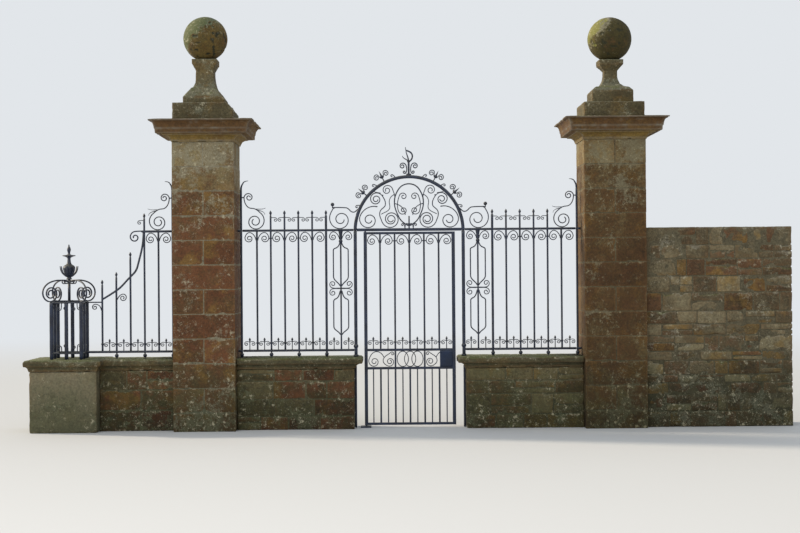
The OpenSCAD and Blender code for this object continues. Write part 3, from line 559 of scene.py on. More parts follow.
UP = (0.0, 0.0, 1.0)
# Direction towards the sun lamp, level in Y; faces turned to it are painted paler, as painted light.
SUN_SIDE = (-0.9, 0.0, 0.44)
STONE_SHIFT = 37.0
LICHEN_LEVEL, LICHEN_FALL = 1.16, 0.55
RUST_LEVEL, RUST_FALL = 0.72, 0.3


def object_place(w: Wiring) -> Socket:
    """The point's place on its object."""
    return w.add("ShaderNodeTexCoord").outputs["Object"]


def tone_shares(w: Wiring) -> Outputs:
    """Kind, shade and wear of the point, from the tone attribute."""
    tone = w.add("ShaderNodeAttribute", attribute_name="tone").outputs["Color"]
    return w.add("ShaderNodeSeparateXYZ", {0: tone}).outputs


def stone_place(w: Wiring) -> Socket:
    """The point's place on its object, moved by its stone's shade, so that each stone differs."""
    shift = w.math("MULTIPLY", tone_shares(w)[1], STONE_SHIFT)
    moved = w.add("ShaderNodeCombineXYZ", {0: shift}).outputs[0]
    return w.add("ShaderNodeVectorMath", {0: object_place(w), 1: moved}, operation="ADD").outputs[0]


def facing(w: Wiring, direction: tuple[float, float, float] = UP) -> Socket:
    """How far a point faces a direction, from 0 for square to it or away to 1 for straight at it."""
    inputs = {0: w.add("ShaderNodeNewGeometry").outputs["Normal"], 1: direction}
    share = w.add("ShaderNodeVectorMath", inputs, operation="DOT_PRODUCT").outputs["Value"]
    return w.math("MAXIMUM", share, 0.0)


def stone_grain_group() -> Tree:
    """Grain of a sandstone: broad clouds, fine grain and small pits."""
    w = Group("stone grain", {}, ["Broad", "Middle", "Fine", "Height"])
    spot = stone_place(w)
    broad = w.step(w.noise(spot, 3.4, 5.0, 0.6), 0.3, 0.7)
    middle = w.step(w.noise(spot, 14.0, 5.0, 0.65), 0.3, 0.7)
    fine = w.step(w.noise(spot, 46.0, 6.0, 0.75), 0.32, 0.68)
    cells = w.add("ShaderNodeTexVoronoi", {"Vector": spot, "Scale": 62.0}).outputs["Distance"]
    height = w.plus(w.math("MULTIPLY", fine, 0.7), w.noise(spot, 160.0, 2.0, 0.6), 0.25)
    height = w.plus(height, w.step(cells, 0.0, 0.34), 0.3)
    return w.done(Broad=broad, Middle=middle, Fine=fine, Height=height)


def lichen_and_lit_side_group() -> Tree:
    """Crusts of lichen: soft ragged patches with specks round them, thicker on ledges.

    The amount lowers the noise that a patch needs.  A point that faces up needs less, and so does one
    with a lift.  By the Side share a point that faces the sun needs less too, which paints paler
    crusts there as painted light.  Flecks are the peaks of two fine noises, near patches.
    """
    shares = {"Amount": 0.5, "Size": 1.0, "Ledge": 0.3, "Lift": 0.0, "Side": 0.0}
    w = Group("lichen", shares, ["Patch", "Fleck"])
    unsized = object_place(w)
    sized = {0: unsized, "Scale": w.given["Size"]}
    spot = w.add("ShaderNodeVectorMath", sized, operation="SCALE").outputs[0]
    broad = w.plus(w.noise(spot, 4.2, 7.0, 0.66), w.noise(spot, 30.0, 5.0, 0.7), 0.5)
    broad = w.plus(broad, facing(w), w.given["Ledge"])
    # Painted light: by the Side share, faces towards the sun gather paler crusts.
    broad = w.plus(broad, facing(w, SUN_SIDE), w.given["Side"])
    lifted = w.math("ADD", broad, w.given["Lift"])
    level = w.plus(LICHEN_LEVEL, w.given["Amount"], -LICHEN_FALL)
    patch = w.step(w.math("SUBTRACT", lifted, level), 0.0, 0.13)
    blotch = w.step(w.noise(unsized, 24.0, 6.0, 0.72), 0.57, 0.63)
    speck = w.step(w.noise(unsized, 80.0, 3.0, 0.6), 0.6, 0.67)
    fleck = w.math("MAXIMUM", blotch, w.math("MULTIPLY", speck, 0.7))
    chance = w.step(w.math("SUBTRACT", lifted, w.math("SUBTRACT", level, 0.18)), 0.0, 0.26)
    return w.done(Patch=patch, Fleck=w.math("MULTIPLY", fleck, chance))


def streak_group() -> Tree:
    """Stains that run down a face: noise stretched along Z, broken up by finer noise."""
    w = Group("streaks", {"Amount": 0.5}, ["Mask"])
    spot = object_place(w)
    tall = w.add("ShaderNodeMapping", {"Vector": spot, "Scale": (9.0, 9.0, 1.1)}).outputs[0]
    mask = w.plus(w.noise(tall, 1.0, 5.0, 0.6), w.noise(spot, 18.0, 4.0), 0.35)
    level = w.plus(1.0, w.given["Amount"], -0.4)
    return w.done(Mask=w.step(w.math("SUBTRACT", mask, level), 0.0, 0.3))


def iron_wear_and_light_group() -> Tree:
    """Rust, dusting, painted light on the sunward side, and hammer marks for ironwork.

    Rust shows where a broad and a small noise are both high.  What faces up is dusted, and what
    faces the sun is painted paler in the same colour, which is painted light.
    """
    w = Group("iron wear and painted light", {"Rust": 0.3, "Dust": 0.3}, ["Rusted", "Dusty", "Tone", "Height"])
    spot = object_place(w)
    broad, small = w.noise(spot, 9.0, 4.0), w.noise(spot, 60.0, 5.0, 0.65)
    fleck = w.noise(spot, 210.0, 3.0)
    both = w.plus(w.math("MULTIPLY", broad, 0.5), small, 0.5)
    level = w.plus(RUST_LEVEL, w.given["Rust"], -RUST_FALL)
    rusted = w.step(w.math("SUBTRACT", both, level), 0.0, 0.1)
    # Faces up gather dusting; faces towards the sun get the same pale colour as painted light.
    upward_and_sunward = w.plus(facing(w), facing(w, SUN_SIDE), 0.5)
    lying_and_lit = w.math("MULTIPLY", upward_and_sunward, w.math("ADD", small, 0.35))
    film = w.math("MULTIPLY", w.math("SUBTRACT", fleck, 0.45), 1.2, clamp=True)
    dusted_and_lit = w.math("MULTIPLY", w.math("ADD", lying_and_lit, film), w.given["Dust"], clamp=True)
    height = w.plus(w.math("MULTIPLY", small, 0.7), fleck, 0.3)
    return w.done(Rusted=rusted, Dusty=dusted_and_lit, Tone=broad, Height=height)


def new_material(name: str) -> tuple[Material, Wiring, Node]:
    """A new material with its wiring and its shader."""
    material = bpy.data.materials.new(name)
    material.use_nodes = True
    return material, Wiring(material.node_tree), material.node_tree.nodes["Principled BSDF"]


UPPER_COURSES = (1.9, 3.0)
FOOT_DARK_RANGE = (1.25, 0.25)
FOOT_LIFT = 0.13
MOSS_SIZE = 0.6
MORTAR_KIND = (-0.4, -0.6)
SHADE_TINTS = ((118, 112, 104), (255, 253, 246))
FOOT_DARK_TINT = (150, 162, 146)
STONE_RELIEF, IRON_RELIEF = 0.005, 0.0012


@dataclass(frozen=True)
class StoneFinish:
    """Colours and age of a stone.

    The kind of a stone, from its tone, goes from pale through brown to red; below 0 it is mortar.
    """

    name: str
    pale: Colour = (158, 142, 104)
    brown: Colour = (124, 98, 66)
    red: Colour = (118, 78, 52)
    ochre: Colour = (156, 124, 66)
    crust: Colour = (188, 178, 148)
    film: Colour = (142, 136, 114)
    moss: Colour = (86, 90, 48)
    stain: Colour = (60, 48, 36)
    mortar: Colour = (150, 142, 120)
    fresh: Colour = (152, 108, 66)
    lichen: float = 0.5
    lichen_size: float = 1.0
    ledge: float = 0.35
    lift: float = 0.0
    # Share by which crusts gather on faces towards the sun, which paints light on that side.
    side: float = 0.0
    golden: float = 0.55
    edge: float = 0.25
    streaks: float = 0.4
    mossy: float = 0.3
    foot_weight: float = 0.9
    bump: float = 0.7

    def material(self, groups: dict[str, Tree]) -> Material:
        """Build the stone's material from the shared groups.

        The stone's own colour comes first, then stains, lichen, moss, a darker greenish tint towards its
        foot and flecks.  The upper courses are greyer with lichen, and the feet are darker and more crusted.

        Args:
            groups: the shared shader groups, by name.

        Returns:
            The new material.
        """
        material, w, shader = new_material(self.name)
        kind, shade, worn = tone_shares(w)
        grain = w.group(groups["grain"])
        high = w.add("ShaderNodeSeparateXYZ", {0: object_place(w)}).outputs[2]
        # Share that grows towards the foot, from about 1.25 m down: the stone is darker, greener and more
        # crusted there.
        foot = w.step(w.plus(high, grain["Broad"], 0.4), *FOOT_DARK_RANGE)
        lift = w.math("MULTIPLY", w.step(high, *UPPER_COURSES), self.lift)
        lift = w.plus(lift, foot, FOOT_LIFT * self.foot_weight)
        # Side gathers lichen and moss on faces towards the sun: painted light there.
        crusts = {"Ledge": self.ledge, "Side": self.side}
        lichen = w.group(groups["lichen"], Amount=self.lichen, Size=self.lichen_size, Lift=lift, **crusts)
        moss = w.group(groups["lichen"], Amount=self.mossy, Size=MOSS_SIZE, **crusts)
        streaks = w.group(groups["streaks"], Amount=self.streaks)
        clouds = w.math("MULTIPLY", w.math("SUBTRACT", grain["Broad"], 0.5), 0.5)
        clouds = w.plus(clouds, w.math("SUBTRACT", grain["Middle"], 0.5), 0.4)
        stops = [(0.0, paint(self.pale)), (0.45, paint(self.brown)), (1.0, paint(self.red))]
        base = w.ramp(w.math("ADD", kind, clouds), stops)
        golden = w.step(w.noise(stone_place(w), 2.7, 6.0, 0.62), 0.52, 0.62)
        base = w.blend(w.math("MULTIPLY", golden, self.golden), base, paint(self.ochre))
        base = w.blend(w.step(kind, *MORTAR_KIND), base, paint(self.mortar))
        level = w.plus(w.math("MULTIPLY", shade, 0.35), grain["Middle"], 0.25)
        level = w.plus(level, grain["Fine"], 0.4)
        tint = w.ramp(level, [(0.1, paint(SHADE_TINTS[0])), (0.9, paint(SHADE_TINTS[1]))])
        base = w.blend(1.0, base, tint, "MULTIPLY")
        base = w.blend(w.math("MULTIPLY", worn, self.edge), base, paint(self.fresh))
        base = w.blend(w.math("MULTIPLY", streaks["Mask"], 0.6), base, paint(self.stain))
        film = w.math("MULTIPLY", lichen["Patch"], w.plus(0.3, grain["Fine"], 0.55))
        base = w.blend(film, base, paint(self.film))
        base = w.blend(w.math("MULTIPLY", moss["Patch"], 0.65), base, paint(self.moss))
        base = w.blend(w.math("MULTIPLY", foot, self.foot_weight), base, paint(FOOT_DARK_TINT), "MULTIPLY")
        crusted = w.math("MULTIPLY", lichen["Fleck"], 0.62)
        height = w.plus(grain["Height"], crusted, 0.25)
        bump = {"Strength": self.bump, "Distance": STONE_RELIEF, "Height": height}
        w.feed(shader, {
            "Base Color": w.blend(crusted, base, paint(self.crust)),
            "Roughness": w.plus(0.72, grain["Fine"], 0.25, clamp=True),
            "Specular IOR Level": 0.25,
            "Normal": w.add("ShaderNodeBump", bump).outputs[0],
        })
        return material


@dataclass(frozen=True)
class IronFinish:
    """Old dark paint on wrought iron, rusted and dusted, its sunward side painted paler as painted light."""

    name: str
    paint_dark: Colour = (20, 27, 44)
    paint_light: Colour = (36, 47, 70)
    rust: Colour = (92, 62, 44)
    # Pale colour and amount of the dusting, also painted on the sunward side as painted light.
    dust_and_lit_side: Colour = (126, 120, 98)
    rust_amount: float = 0.3
    dust_and_lit_amount: float = 0.42
    roughness: float = 0.4
    hammer: float = 0.35

    def material(self, groups: dict[str, Tree]) -> Material:
        """Build the iron's material from the shared groups."""
        material, w, shader = new_material(self.name)
        wear = w.group(groups["iron"], Rust=self.rust_amount, Dust=self.dust_and_lit_amount)
        colour = w.blend(w.step(wear["Tone"], 0.3, 0.7), paint(self.paint_dark), paint(self.paint_light))
        colour = w.blend(wear["Rusted"], colour, paint(self.rust))
        rough = w.plus(self.roughness, wear["Rusted"], 0.35)
        bump = {"Strength": self.hammer, "Distance": IRON_RELIEF, "Height": wear["Height"]}
        w.feed(shader, {
            # Dusting, and painted light in the same pale colour on the sunward side.
            "Base Color": w.blend(wear["Dusty"], colour, paint(self.dust_and_lit_side)),
            "Roughness": w.plus(rough, wear["Dusty"], 0.3, clamp=True),
            "Specular IOR Level": 0.35,
            "Normal": w.add("ShaderNodeBump", bump).outputs[0],
        })
        return material


# Masonry and the lock


class Side(Enum):
    """The two sides of the gateway."""

    LEFT = "left"
    RIGHT = "right"


def corners_of(node: str) -> tuple[Array, Array]:
    """Lowest and highest corner of a node, as arrays."""
    lo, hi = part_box(node)
    return np.array(lo), np.array(hi)


def place(
    surface: Surface, nodes: list[str], material: Material, ending: str = "dressed",
    slot: str = "carved_stone", body: str = "root",
) -> None:
    """Make a piece, let it stand for its nodes, and report it.

    Args:
        surface: its shape, drawn back into the whole model's box where it passes that.
        nodes: the nodes that it replaces.
        material: its material.
        ending: what its name has after the first node's.
        slot: name of a material slot; not used.
        body: the body it rides on.
    """
    surface.points = np.clip(surface.points, *np.array(CAD_BOX))
    obj = surface.to_object(f"{nodes[0]}_{ending}")
    obj.data.materials.append(material)
    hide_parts(*nodes)
    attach(obj, body)
    LOG.info("%s: %d faces", obj.name, len(obj.data.polygons))


def place_iron(pieces: dict[str, Surface], material: Material, body: str = "root") -> None:
    """Make the forged pieces that stand for the nodes they are listed under."""
    for node, surface in pieces.items():
        place(surface, [node], material, "forged", "wrought_iron", body)


def keep(node: str, material: Material) -> None:
    """Leave a node's own shape in the scene and give it a material."""
    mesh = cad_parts[node].data
    for slot in range(len(mesh.materials)):
        mesh.materials[slot] = material
    LOG.info("%s: own shape", node)


def circle(count: int) -> Array:
    """Angles of evenly spaced points round a circle."""
    return np.linspace(0, 2 * math.pi, count, endpoint=False)


RIVET_INSET, RIVET_RADIUS, RIVET_LIFT = 0.016, 0.0065, 0.0004


def rivet(x: float, y: float, z: float, radius: float) -> Surface:
    """The domed head of a rivet on a face towards the front, sunk a little into it."""
    turn = circle(14)
    lift = np.array([[0.0], [0.0], [0.35], [0.65], [0.9]]) * math.pi / 2
    out = 0.6 * radius * np.sin(lift) - 0.001 * np.array([[1.0], [0.0], [0.0], [0.0], [0.0]])
    across = radius * np.cos(lift)
    rings = [x + across * np.cos(turn), y - out + 0 * turn, z + across * np.sin(turn)]
    return Surface.of_rings(np.stack(rings, axis=-1))


def lock_case() -> Surface:
    """The lock's box with rounded arrises and rivets on its front."""
    lo, hi = corners_of("lock_case")
    parts = [block(lo, hi, Wear(0.0, 0.0004, 0.0, 0.0, 7), (0.0, 0.5), 0.004, 0.012)]
    edge = RIVET_INSET
    for x in (lo[0] + edge, hi[0] - edge):
        for share in (0.0, 0.5, 1.0):
            z = lo[2] + edge + (hi[2] - lo[2] - 2 * edge) * share
            parts.append(rivet(x, lo[1] + RIVET_LIFT, z, RIVET_RADIUS))
    return Surface.merged(parts)


MORTAR = (-1.0, 0.5)
SETBACK = 0.0015
BREAK_SLOPE = math.radians(53)
BREAK_START = 0.5
WHOLE_NECK = (0.335, 0.385)


@dataclass
class Pier:
    """A pier of coursed stone with its cap, pedestal and ball."""

    side: Side
    kinds: list[Pair]
    seed: int
    course: float = 0.257
    joint: float = 0.007
    mortar_inset: float = 0.0032
    cap_over: float = 0.215
    cap_h: float = 0.225
    cap_rise: float = 0.022
    pier_w: float = 0.65
    plinth_w: float = 0.635
    plinth_h: float = 0.15
    pedestal_w: float = 0.436
    pedestal_h: float = 0.465
    neck_w: float = 0.14
    collar_w: float = 0.256
    block: float = 0.28
    shoulder_w: float = 0.395
    broken: bool = False

    def node(self, part: str) -> str:
        """Name of one of the pier's nodes."""
        return f"{self.side.value}_{part}"

    def shaft(self) -> Surface:
        """Courses from the top down: one of two stones side by side, then one of two in depth."""
        lo, hi = corners_of(self.node("pier_shaft"))
        middle = (lo + hi) / 2
        rng = np.random.default_rng(self.seed)
        tops = hi[2] - self.course * np.arange(len(self.kinds))
        stones = []
        for row, top in enumerate(tops):
            foot = max(lo[2], top - self.course) if row < len(tops) - 1 else lo[2]
            axis = row % 2
            for half in (0, 1):
                a, b = lo.copy(), hi.copy()
                a[2], b[2] = foot + self.joint * (foot > lo[2]), top
                if half:
                    a[axis] = middle[axis] + self.joint / 2
                else:
                    b[axis] = middle[axis] - self.joint / 2
                nudge = rng.uniform(-SETBACK, 0.0, 2)
                a[:2] -= nudge
                b[:2] += nudge
                kind = self.kinds[row][half if axis == 0 else 0] + rng.uniform(-0.05, 0.05)
                wear = Wear(0.0014, 0.0012, 0.006, 0.0012, self.seed * 100 + row * 2 + half, 0.008)
                tone = (float(np.clip(kind, 0, 1)), rng.uniform(0.25, 0.85))
                stones.append(block(a, b, wear, tone, 0.003, 0.02))
        inset = np.array([self.mortar_inset, self.mortar_inset, 0.0])
        wear = Wear(0.0, 0.0015, 0.0, 0.0, self.seed)
        return Surface.merged(stones + [block(lo + inset, hi - inset, wear, MORTAR, 0.004, 0.05)])

    def cap(self) -> Surface:
        """The cap: bed mould, hollow, corona and cymatium, with a weathered top."""
        over, tall = self.cap_over, self.cap_h
        line = [(0.0, 0.0), (over * 0.05, 0.0), (over * 0.05, tall * 0.06)]
        line += hollow(over * 0.07, tall * 0.06, over * 0.36, tall * 0.3, 6)
        line += [(over * 0.42, tall * 0.3), (over * 0.42, tall * 0.36)]
        line += [(over * 0.7, tall * 0.36), (over * 0.72, tall * 0.55)]
        line += hollow(over * 0.75, tall * 0.58, over * 0.97, tall * 0.92, 7)
        line += [(over, tall * 0.93), (over, tall)]
        line += [((self.plinth_w - self.pier_w) / 2, tall + self.cap_rise)]
        lo, hi = corners_of(self.node("pier_cap"))
        middle = (lo + hi) / 2
        half = (hi[0] - lo[0]) / 2 - over
        plan = Plan(middle[0] - half, middle[0] + half, -half, half)
        wear = Wear(0.003, 0.0016, 0.012, 0.002, self.seed + 31, 0.01)
        surface = masonry(plan, moulded(line, 0.011), lo[2], wear, (0.3, 0.6), 0.006, 0.018)
        share = (surface.points[:, 2] - lo[2]) / tall
        surface.tone[:, 0] = 0.75 * smoothstep(0.3, 0.42, share) + 0.25 * smoothstep(0.95, 0.98, share)
        return surface

    def pedestal(self) -> Surface:
        """The plinth block and the concave pedestal on it, with the collar that carries the ball."""
        lo, hi = corners_of(self.node("finial_pedestal"))
        half, wide, tall = self.plinth_w / 2, self.pedestal_w, self.pedestal_h
        rise = [(wide / 2, 0.0), (wide / 2, tall * self.block)]
        broad, narrow, collar = wide * self.shoulder_w, self.neck_w / 2, self.collar_w / 2
        turn = np.linspace(0, math.pi / 2, 10)
        sweep = narrow + (broad - narrow) * (1 - np.sin(turn))
        rise += list(zip(sweep, tall * (0.37 + 0.28 * (1 - np.cos(turn)))))
        rise += [(narrow, tall * 0.75), (collar * 0.92, tall * 0.865)]
        rise += [(collar, tall * 0.885), (collar, tall)]
        line = [(0.0, 0.0), (0.0, self.plinth_h)] + [(x - half, z + self.plinth_h) for x, z in rise]
        middle = (lo[0] + hi[0]) / 2
        plan = Plan(middle - half, middle + half, -half, half)
        wear = Wear(0.004, 0.003, 0.012, 0.004, self.seed + 47, 0.01)
        surface = masonry(plan, moulded(line, 0.012), lo[2], wear, (0.2, 0.5), 0.006, 0.016)
        if self.broken:
            self.knock_off(surface, lo[2], lo[0] if self.side is Side.RIGHT else hi[0])
        return surface

    def knock_off(self, surface: Surface, foot: float, edge: float) -> None:
        """Break the inner edge away along a rough slope, through the whole depth.

        Formula: points past the slope are drawn straight back onto it, less and less towards the
        pedestal's neck, which is left whole.

        Args:
            surface: the pedestal, changed in place.
            foot: height of the plinth's foot.
            edge: place in X of the plinth's inner side.
        """
        towards = -1.0 if self.side is Side.RIGHT else 1.0
        direction = np.array([towards * math.sin(BREAK_SLOPE), 0.0, math.cos(BREAK_SLOPE)])
        point = np.array([edge, 0.0, foot + self.plinth_h * BREAK_START])
        rough = 0.01 * layered(surface.points, 0.07, 3, 5) + 0.004
        fade = 1 - smoothstep(*WHOLE_NECK, surface.points[:, 2] - foot)
        past = np.maximum((surface.points - point) @ direction + rough, 0.0) * fade
        surface.points -= past[:, None] * direction
        surface.tone[:, 2] = np.maximum(surface.tone[:, 2], np.minimum(past * 60, 1.0))

    def ball(self) -> Surface:
        """The ball: a sphere with a pitted skin, flat where it sits."""
        lo, hi = corners_of(self.node("finial_ball"))
        radius = (hi[0] - lo[0]) / 2
        centre = np.array([(lo[0] + hi[0]) / 2, 0.0, hi[2] - radius])
        polar = np.linspace(-math.pi / 2, math.pi / 2, 82)[1:-1, None]
        turn = circle(128)[None]
        across = np.cos(polar)
        ring = [across * np.cos(turn), across * np.sin(turn), np.sin(polar) + 0 * turn]
        ring = np.stack(ring, axis=-1)
        pitted = smoothstep(0.42, 0.62, noise(ring, 0.15, self.seed + 2))
        skin = radius - 0.003 + 0.003 * layered(ring, 0.5, 4, self.seed) - 0.004 * pitted
        points = centre + ring * np.minimum(skin, radius)[..., None]
        points[..., 2] = np.maximum(points[..., 2], lo[2])
        tone = np.stack([0.25 + 0 * pitted, 0.5 + 0 * pitted, pitted], axis=-1)
        return Surface.of_rings(points, tone)

    def build(self, finishes: dict[str, Material]) -> None:
        """Build and dress the pier's four pieces."""
        side = self.side.value
        place(self.shaft(), [self.node("pier_shaft")], finishes[f"{side} pier stone"], slot="pier_stone")
        place(self.cap(), [self.node("pier_cap")], finishes["cap stone"])
        place(self.pedestal(), [self.node("finial_pedestal")], finishes["pedestal stone"])
        place(self.ball(), [self.node("finial_ball")], finishes[f"{side} ball stone"])


@dataclass
class RubbleWall:
    """A wall of squared rubble laid in courses, its stones running through it."""

    node: str
    seed: int
    low: float = 0.13
    high: float = 0.24
    shortest: float = 0.2
    longest: float = 0.5
    joint: float = 0.009
    mortar_inset: float = 0.006
    proud: float = 0.003
    rough: float = 0.0026
    split: float = 0.25
    spacing: float = 0.024
    kinds: Pair = (0.0, 1.0)

    def stones(self, lo: Array, hi: Array) -> list[Surface]:
        """Lay the stones of one wall, course by course from the ground."""
        rng = np.random.default_rng(self.seed)
        rises = rng.uniform(self.low, self.high, 40)
        count = int(np.argmin(np.abs(np.cumsum(rises) - (hi[2] - lo[2])))) + 1
        levels = np.concatenate([[0.0], np.cumsum(rises[:count])])
        levels = lo[2] + levels * (hi[2] - lo[2]) / levels[-1]
        laid = []
        for row in range(count):
            lengths = rng.uniform(self.shortest, self.longest, 30)
            number = max(1, int(np.argmin(np.abs(np.cumsum(lengths) - (hi[0] - lo[0])))) + 1)
            ends = np.concatenate([[0.0], np.cumsum(lengths[:number])])
            ends = lo[0] + ends * (hi[0] - lo[0]) / ends[-1]
            for i in range(number):
                low, high = levels[row], levels[row + 1]
                middle = low + (high - low) * rng.uniform(0.4, 0.6)
                beds = [low, middle, high] if rng.random() < self.split else [low, high]
                for foot, head in zip(beds, beds[1:]):
                    back = rng.uniform(0.0, self.proud)
                    foot += self.joint * (foot > lo[2])
                    a = np.array([ends[i] + self.joint * (i > 0), lo[1] + back, foot])
                    b = np.array([ends[i + 1], hi[1] - back, head])
                    wear = Wear(0.002, self.rough, 0.01, 0.003, self.seed * 1000 + len(laid), 0.01)
                    tone = (float(rng.uniform(*self.kinds)), float(rng.uniform(0.1, 0.95)))
                    laid.append(block(a, b, wear, tone, 0.005, self.spacing))
        return laid

    def build(self, material: Material) -> None:
        """Build and dress the wall with its mortar."""
        lo, hi = corners_of(self.node)
        inset = np.array([self.mortar_inset, self.mortar_inset, 0.003])
        wear = Wear(0.0, 0.003, 0.0, 0.0, self.seed)
        core = block(lo + inset, hi - inset, wear, MORTAR, 0.006, 0.04)
        place(Surface.merged(self.stones(lo, hi) + [core]), [self.node], material, slot="rubble_stone")


@dataclass
class Coping:
    """A moulded coping, its moulding carried round the sides that show."""

    node: str
    seed: int
    over: float = 0.06
    tall: float = 0.12
    left: float = 0.0
    right: float = 0.0

    def build(self, material: Material) -> None:
        """Build and dress the coping."""
        over, tall = self.over, self.tall
        line = [(0.0, 0.0), (0.01, 0.0), (0.01, tall * 0.12)]
        line += hollow(0.012, tall * 0.12, over - 0.012, tall * 0.45, 6)
        line += [(over - 0.004, tall * 0.45), (over - 0.004, tall * 0.5), (over - 0.001, tall * 0.55)]
        line += [(over, tall * 0.62), (over, tall * 0.86), (over - 0.014, tall)]
        lo, hi = corners_of(self.node)
        x0, x1 = lo[0] + over * self.left, hi[0] - over * self.right
        plan = Plan(x0, x1, lo[1] + over, hi[1] - over, self.left, self.right)
        wear = Wear(0.003, 0.0028, 0.014, 0.002, self.seed, 0.01)
        surface = masonry(plan, moulded(line, 0.01), lo[2], wear, (0.15, 0.5), 0.006, 0.02)
        place(surface, [self.node], material)


# Paths in the plane of the ironwork, in millimetres

MM = 0.001
EYE_SHARE = 0.27
HANDLE = 0.38

Point = Array | Sequence[float]
Knots = list[tuple[Point, Point]]


def unit(vector: Point) -> Array:
    """The vector at a length of 1."""
    vector = np.asarray(vector, float)
    return vector / np.linalg.norm(vector)


def bezier(a: Array, b: Array, c: Array, d: Array, count: float) -> Array:
    """Cubic curve: the four points weighted by the cubic Bernstein shares of the parameter."""
    u = np.linspace(0, 1, math.ceil(count) + 1)[:, None]
    v = 1 - u
    return v**3 * a + 3 * v**2 * u * b + 3 * v * u**2 * c + u**3 * d


def via(knots: Knots) -> Array:
    """A smooth path through knots.

    Formula: between two knots runs a cubic curve whose handles lie along the headings, and are a
    share of the straight distance long.

    Args:
        knots: pairs of a point and the heading there.

    Returns:
        Points of the path, shape (n, 2).
    """
    legs = [np.array([knots[0][0]], float)]
    for (p, leaving), (q, arriving) in zip(knots, knots[1:]):
        p, q = np.array(p, float), np.array(q, float)
        handle = np.linalg.norm(q - p) * HANDLE
        legs.append(bezier(p, p + unit(leaving) * handle, q - unit(arriving) * handle, q, 9)[1:])
    return np.concatenate(legs)


@dataclass(frozen=True)
class Volute:
    """A spiral that winds in from its stem; a sense of 1 is anticlockwise."""

    x: float
    z: float
    radius: float
    angle: float
    turns: float
    sense: int = 1

    def rim(self) -> Array:
        """Where the stem joins."""
        a = math.radians(self.angle)
        return np.array([self.x + self.radius * math.cos(a), self.z + self.radius * math.sin(a)])

    def leave(self) -> Array:
        """Direction of the stem, away from the spiral."""
        a = math.radians(self.angle)
        return self.sense * np.array([math.sin(a), -math.cos(a)])

    def winding(self, steps: int) -> Array:
        """The spiral after its rim: the radius falls to the eye's share by equal ratios."""
        count = math.ceil(steps * self.turns)
        u = np.arange(1, count + 1) / count
        a = np.radians(self.angle + self.sense * 360 * self.turns * u)
        r = self.radius * EYE_SHARE**u
        return np.stack([self.x + r * np.cos(a), self.z + r * np.sin(a)], axis=1)


def knots_into(knots: Knots, volute: Volute, steps: int) -> Array:
    """A path through knots that ends in a volute."""
    return np.concatenate([via(knots + [(volute.rim(), -volute.leave())]), volute.winding(steps)])


def volute_to(first: Volute, knots: Knots, last: Volute, steps: int) -> Array:
    """A path out of one volute, through knots and into another."""
    start = [(first.rim(), first.leave())]
    return np.concatenate([first.winding(steps)[::-1], knots_into(start + knots, last, steps)])


# Forged and turned pieces, in millimetres

FLAT = 0.33
HALF_SECTION = np.array([[0.5, -FLAT], [0.5, FLAT], [FLAT, 0.5], [-FLAT, 0.5]])
SECTION = np.concatenate([HALF_SECTION, -HALF_SECTION])
LONGEST_STEP = 45
NIB, NIB_REACH, END_SHARE = 0.22, 0.4, 0.66
DENT, DENT_CELL = 0.05, 24.0


def softened(profile: Line, rounds: int) -> Array:
    """Cut the corners of a line: each side gives the points at a quarter and three quarters."""
    line = np.asarray(profile, float)
    for _ in range(rounds):
        near, far = 0.75 * line[:-1] + 0.25 * line[1:], 0.25 * line[:-1] + 0.75 * line[1:]
        line = np.concatenate([line[:1], np.stack([near, far], axis=1).reshape(-1, 2), line[-1:]])
    return line


@dataclass(frozen=True)
class Layout:
    """Places and sizes that the pieces of ironwork share, in millimetres."""

    post_x: float = 574
    post_w: float = 36
    wall_x: float = 590
    leg_w: float = 24
    transom_z: float = 2100
    transom_h: float = 30
    arch_z: float = 2088
    stile_x: float = 467.5
    stile_w: float = 35
    leaf_rail_h: float = 25
    lock_low_z: float = 628
    lock_high_z: float = 822
    leaf_top_z: float = 2063.5
    leaf_low_z: float = 37.5
    leaf_pitch: float = 155.8333
    leaf_bays: int = 6
    bar_w: float = 20
    thin_w: float = 13
    upright_w: float = 26
    scroll_t: float = 10
    scroll_d: float = 16
    rail_h: float = 25
    rail_d: float = 24
    low_rail_z: float = 824
    coping_top: float = 755
    coping_h: float = 120
    tip_rise: float = 215
    pil_x: float = 884
    pil_mid: float = 729
    brk_x: float = 1785
    pier_gap: float = 40
    screen_pitch: float = 147
    screen_bars: int = 5
    wing_x: float = 2515
    wing_pitch: float = 150
    wing_bars: int = 5
    std_x: float = 3615
    standard_w: float = 350
    standard_top_z: float = 1360

    @property
    def arch_out(self) -> float:
        """Outer radius of the arch."""
        return self.post_x + self.post_w / 2

    @property
    def transom_top(self) -> float:
        """Height of the transom's upper face."""
        return self.transom_z + self.transom_h / 2

    @property
    def transom_low(self) -> float:
        """Height of the lower face of the screens' upper rail."""
        return self.transom_z - self.rail_h / 2

    @property
    def tip_z(self) -> float:
        """Height of the screens' tips."""
        return self.transom_z + self.tip_rise

    @property
    def leaf_in(self) -> float:
        """Half the clear width between the leaf's stiles."""
        return self.stile_x - self.stile_w / 2

    @property
    def low_rail_top(self) -> float:
        """Height of the lower rail's upper face."""
        return self.low_rail_z + self.rail_h / 2


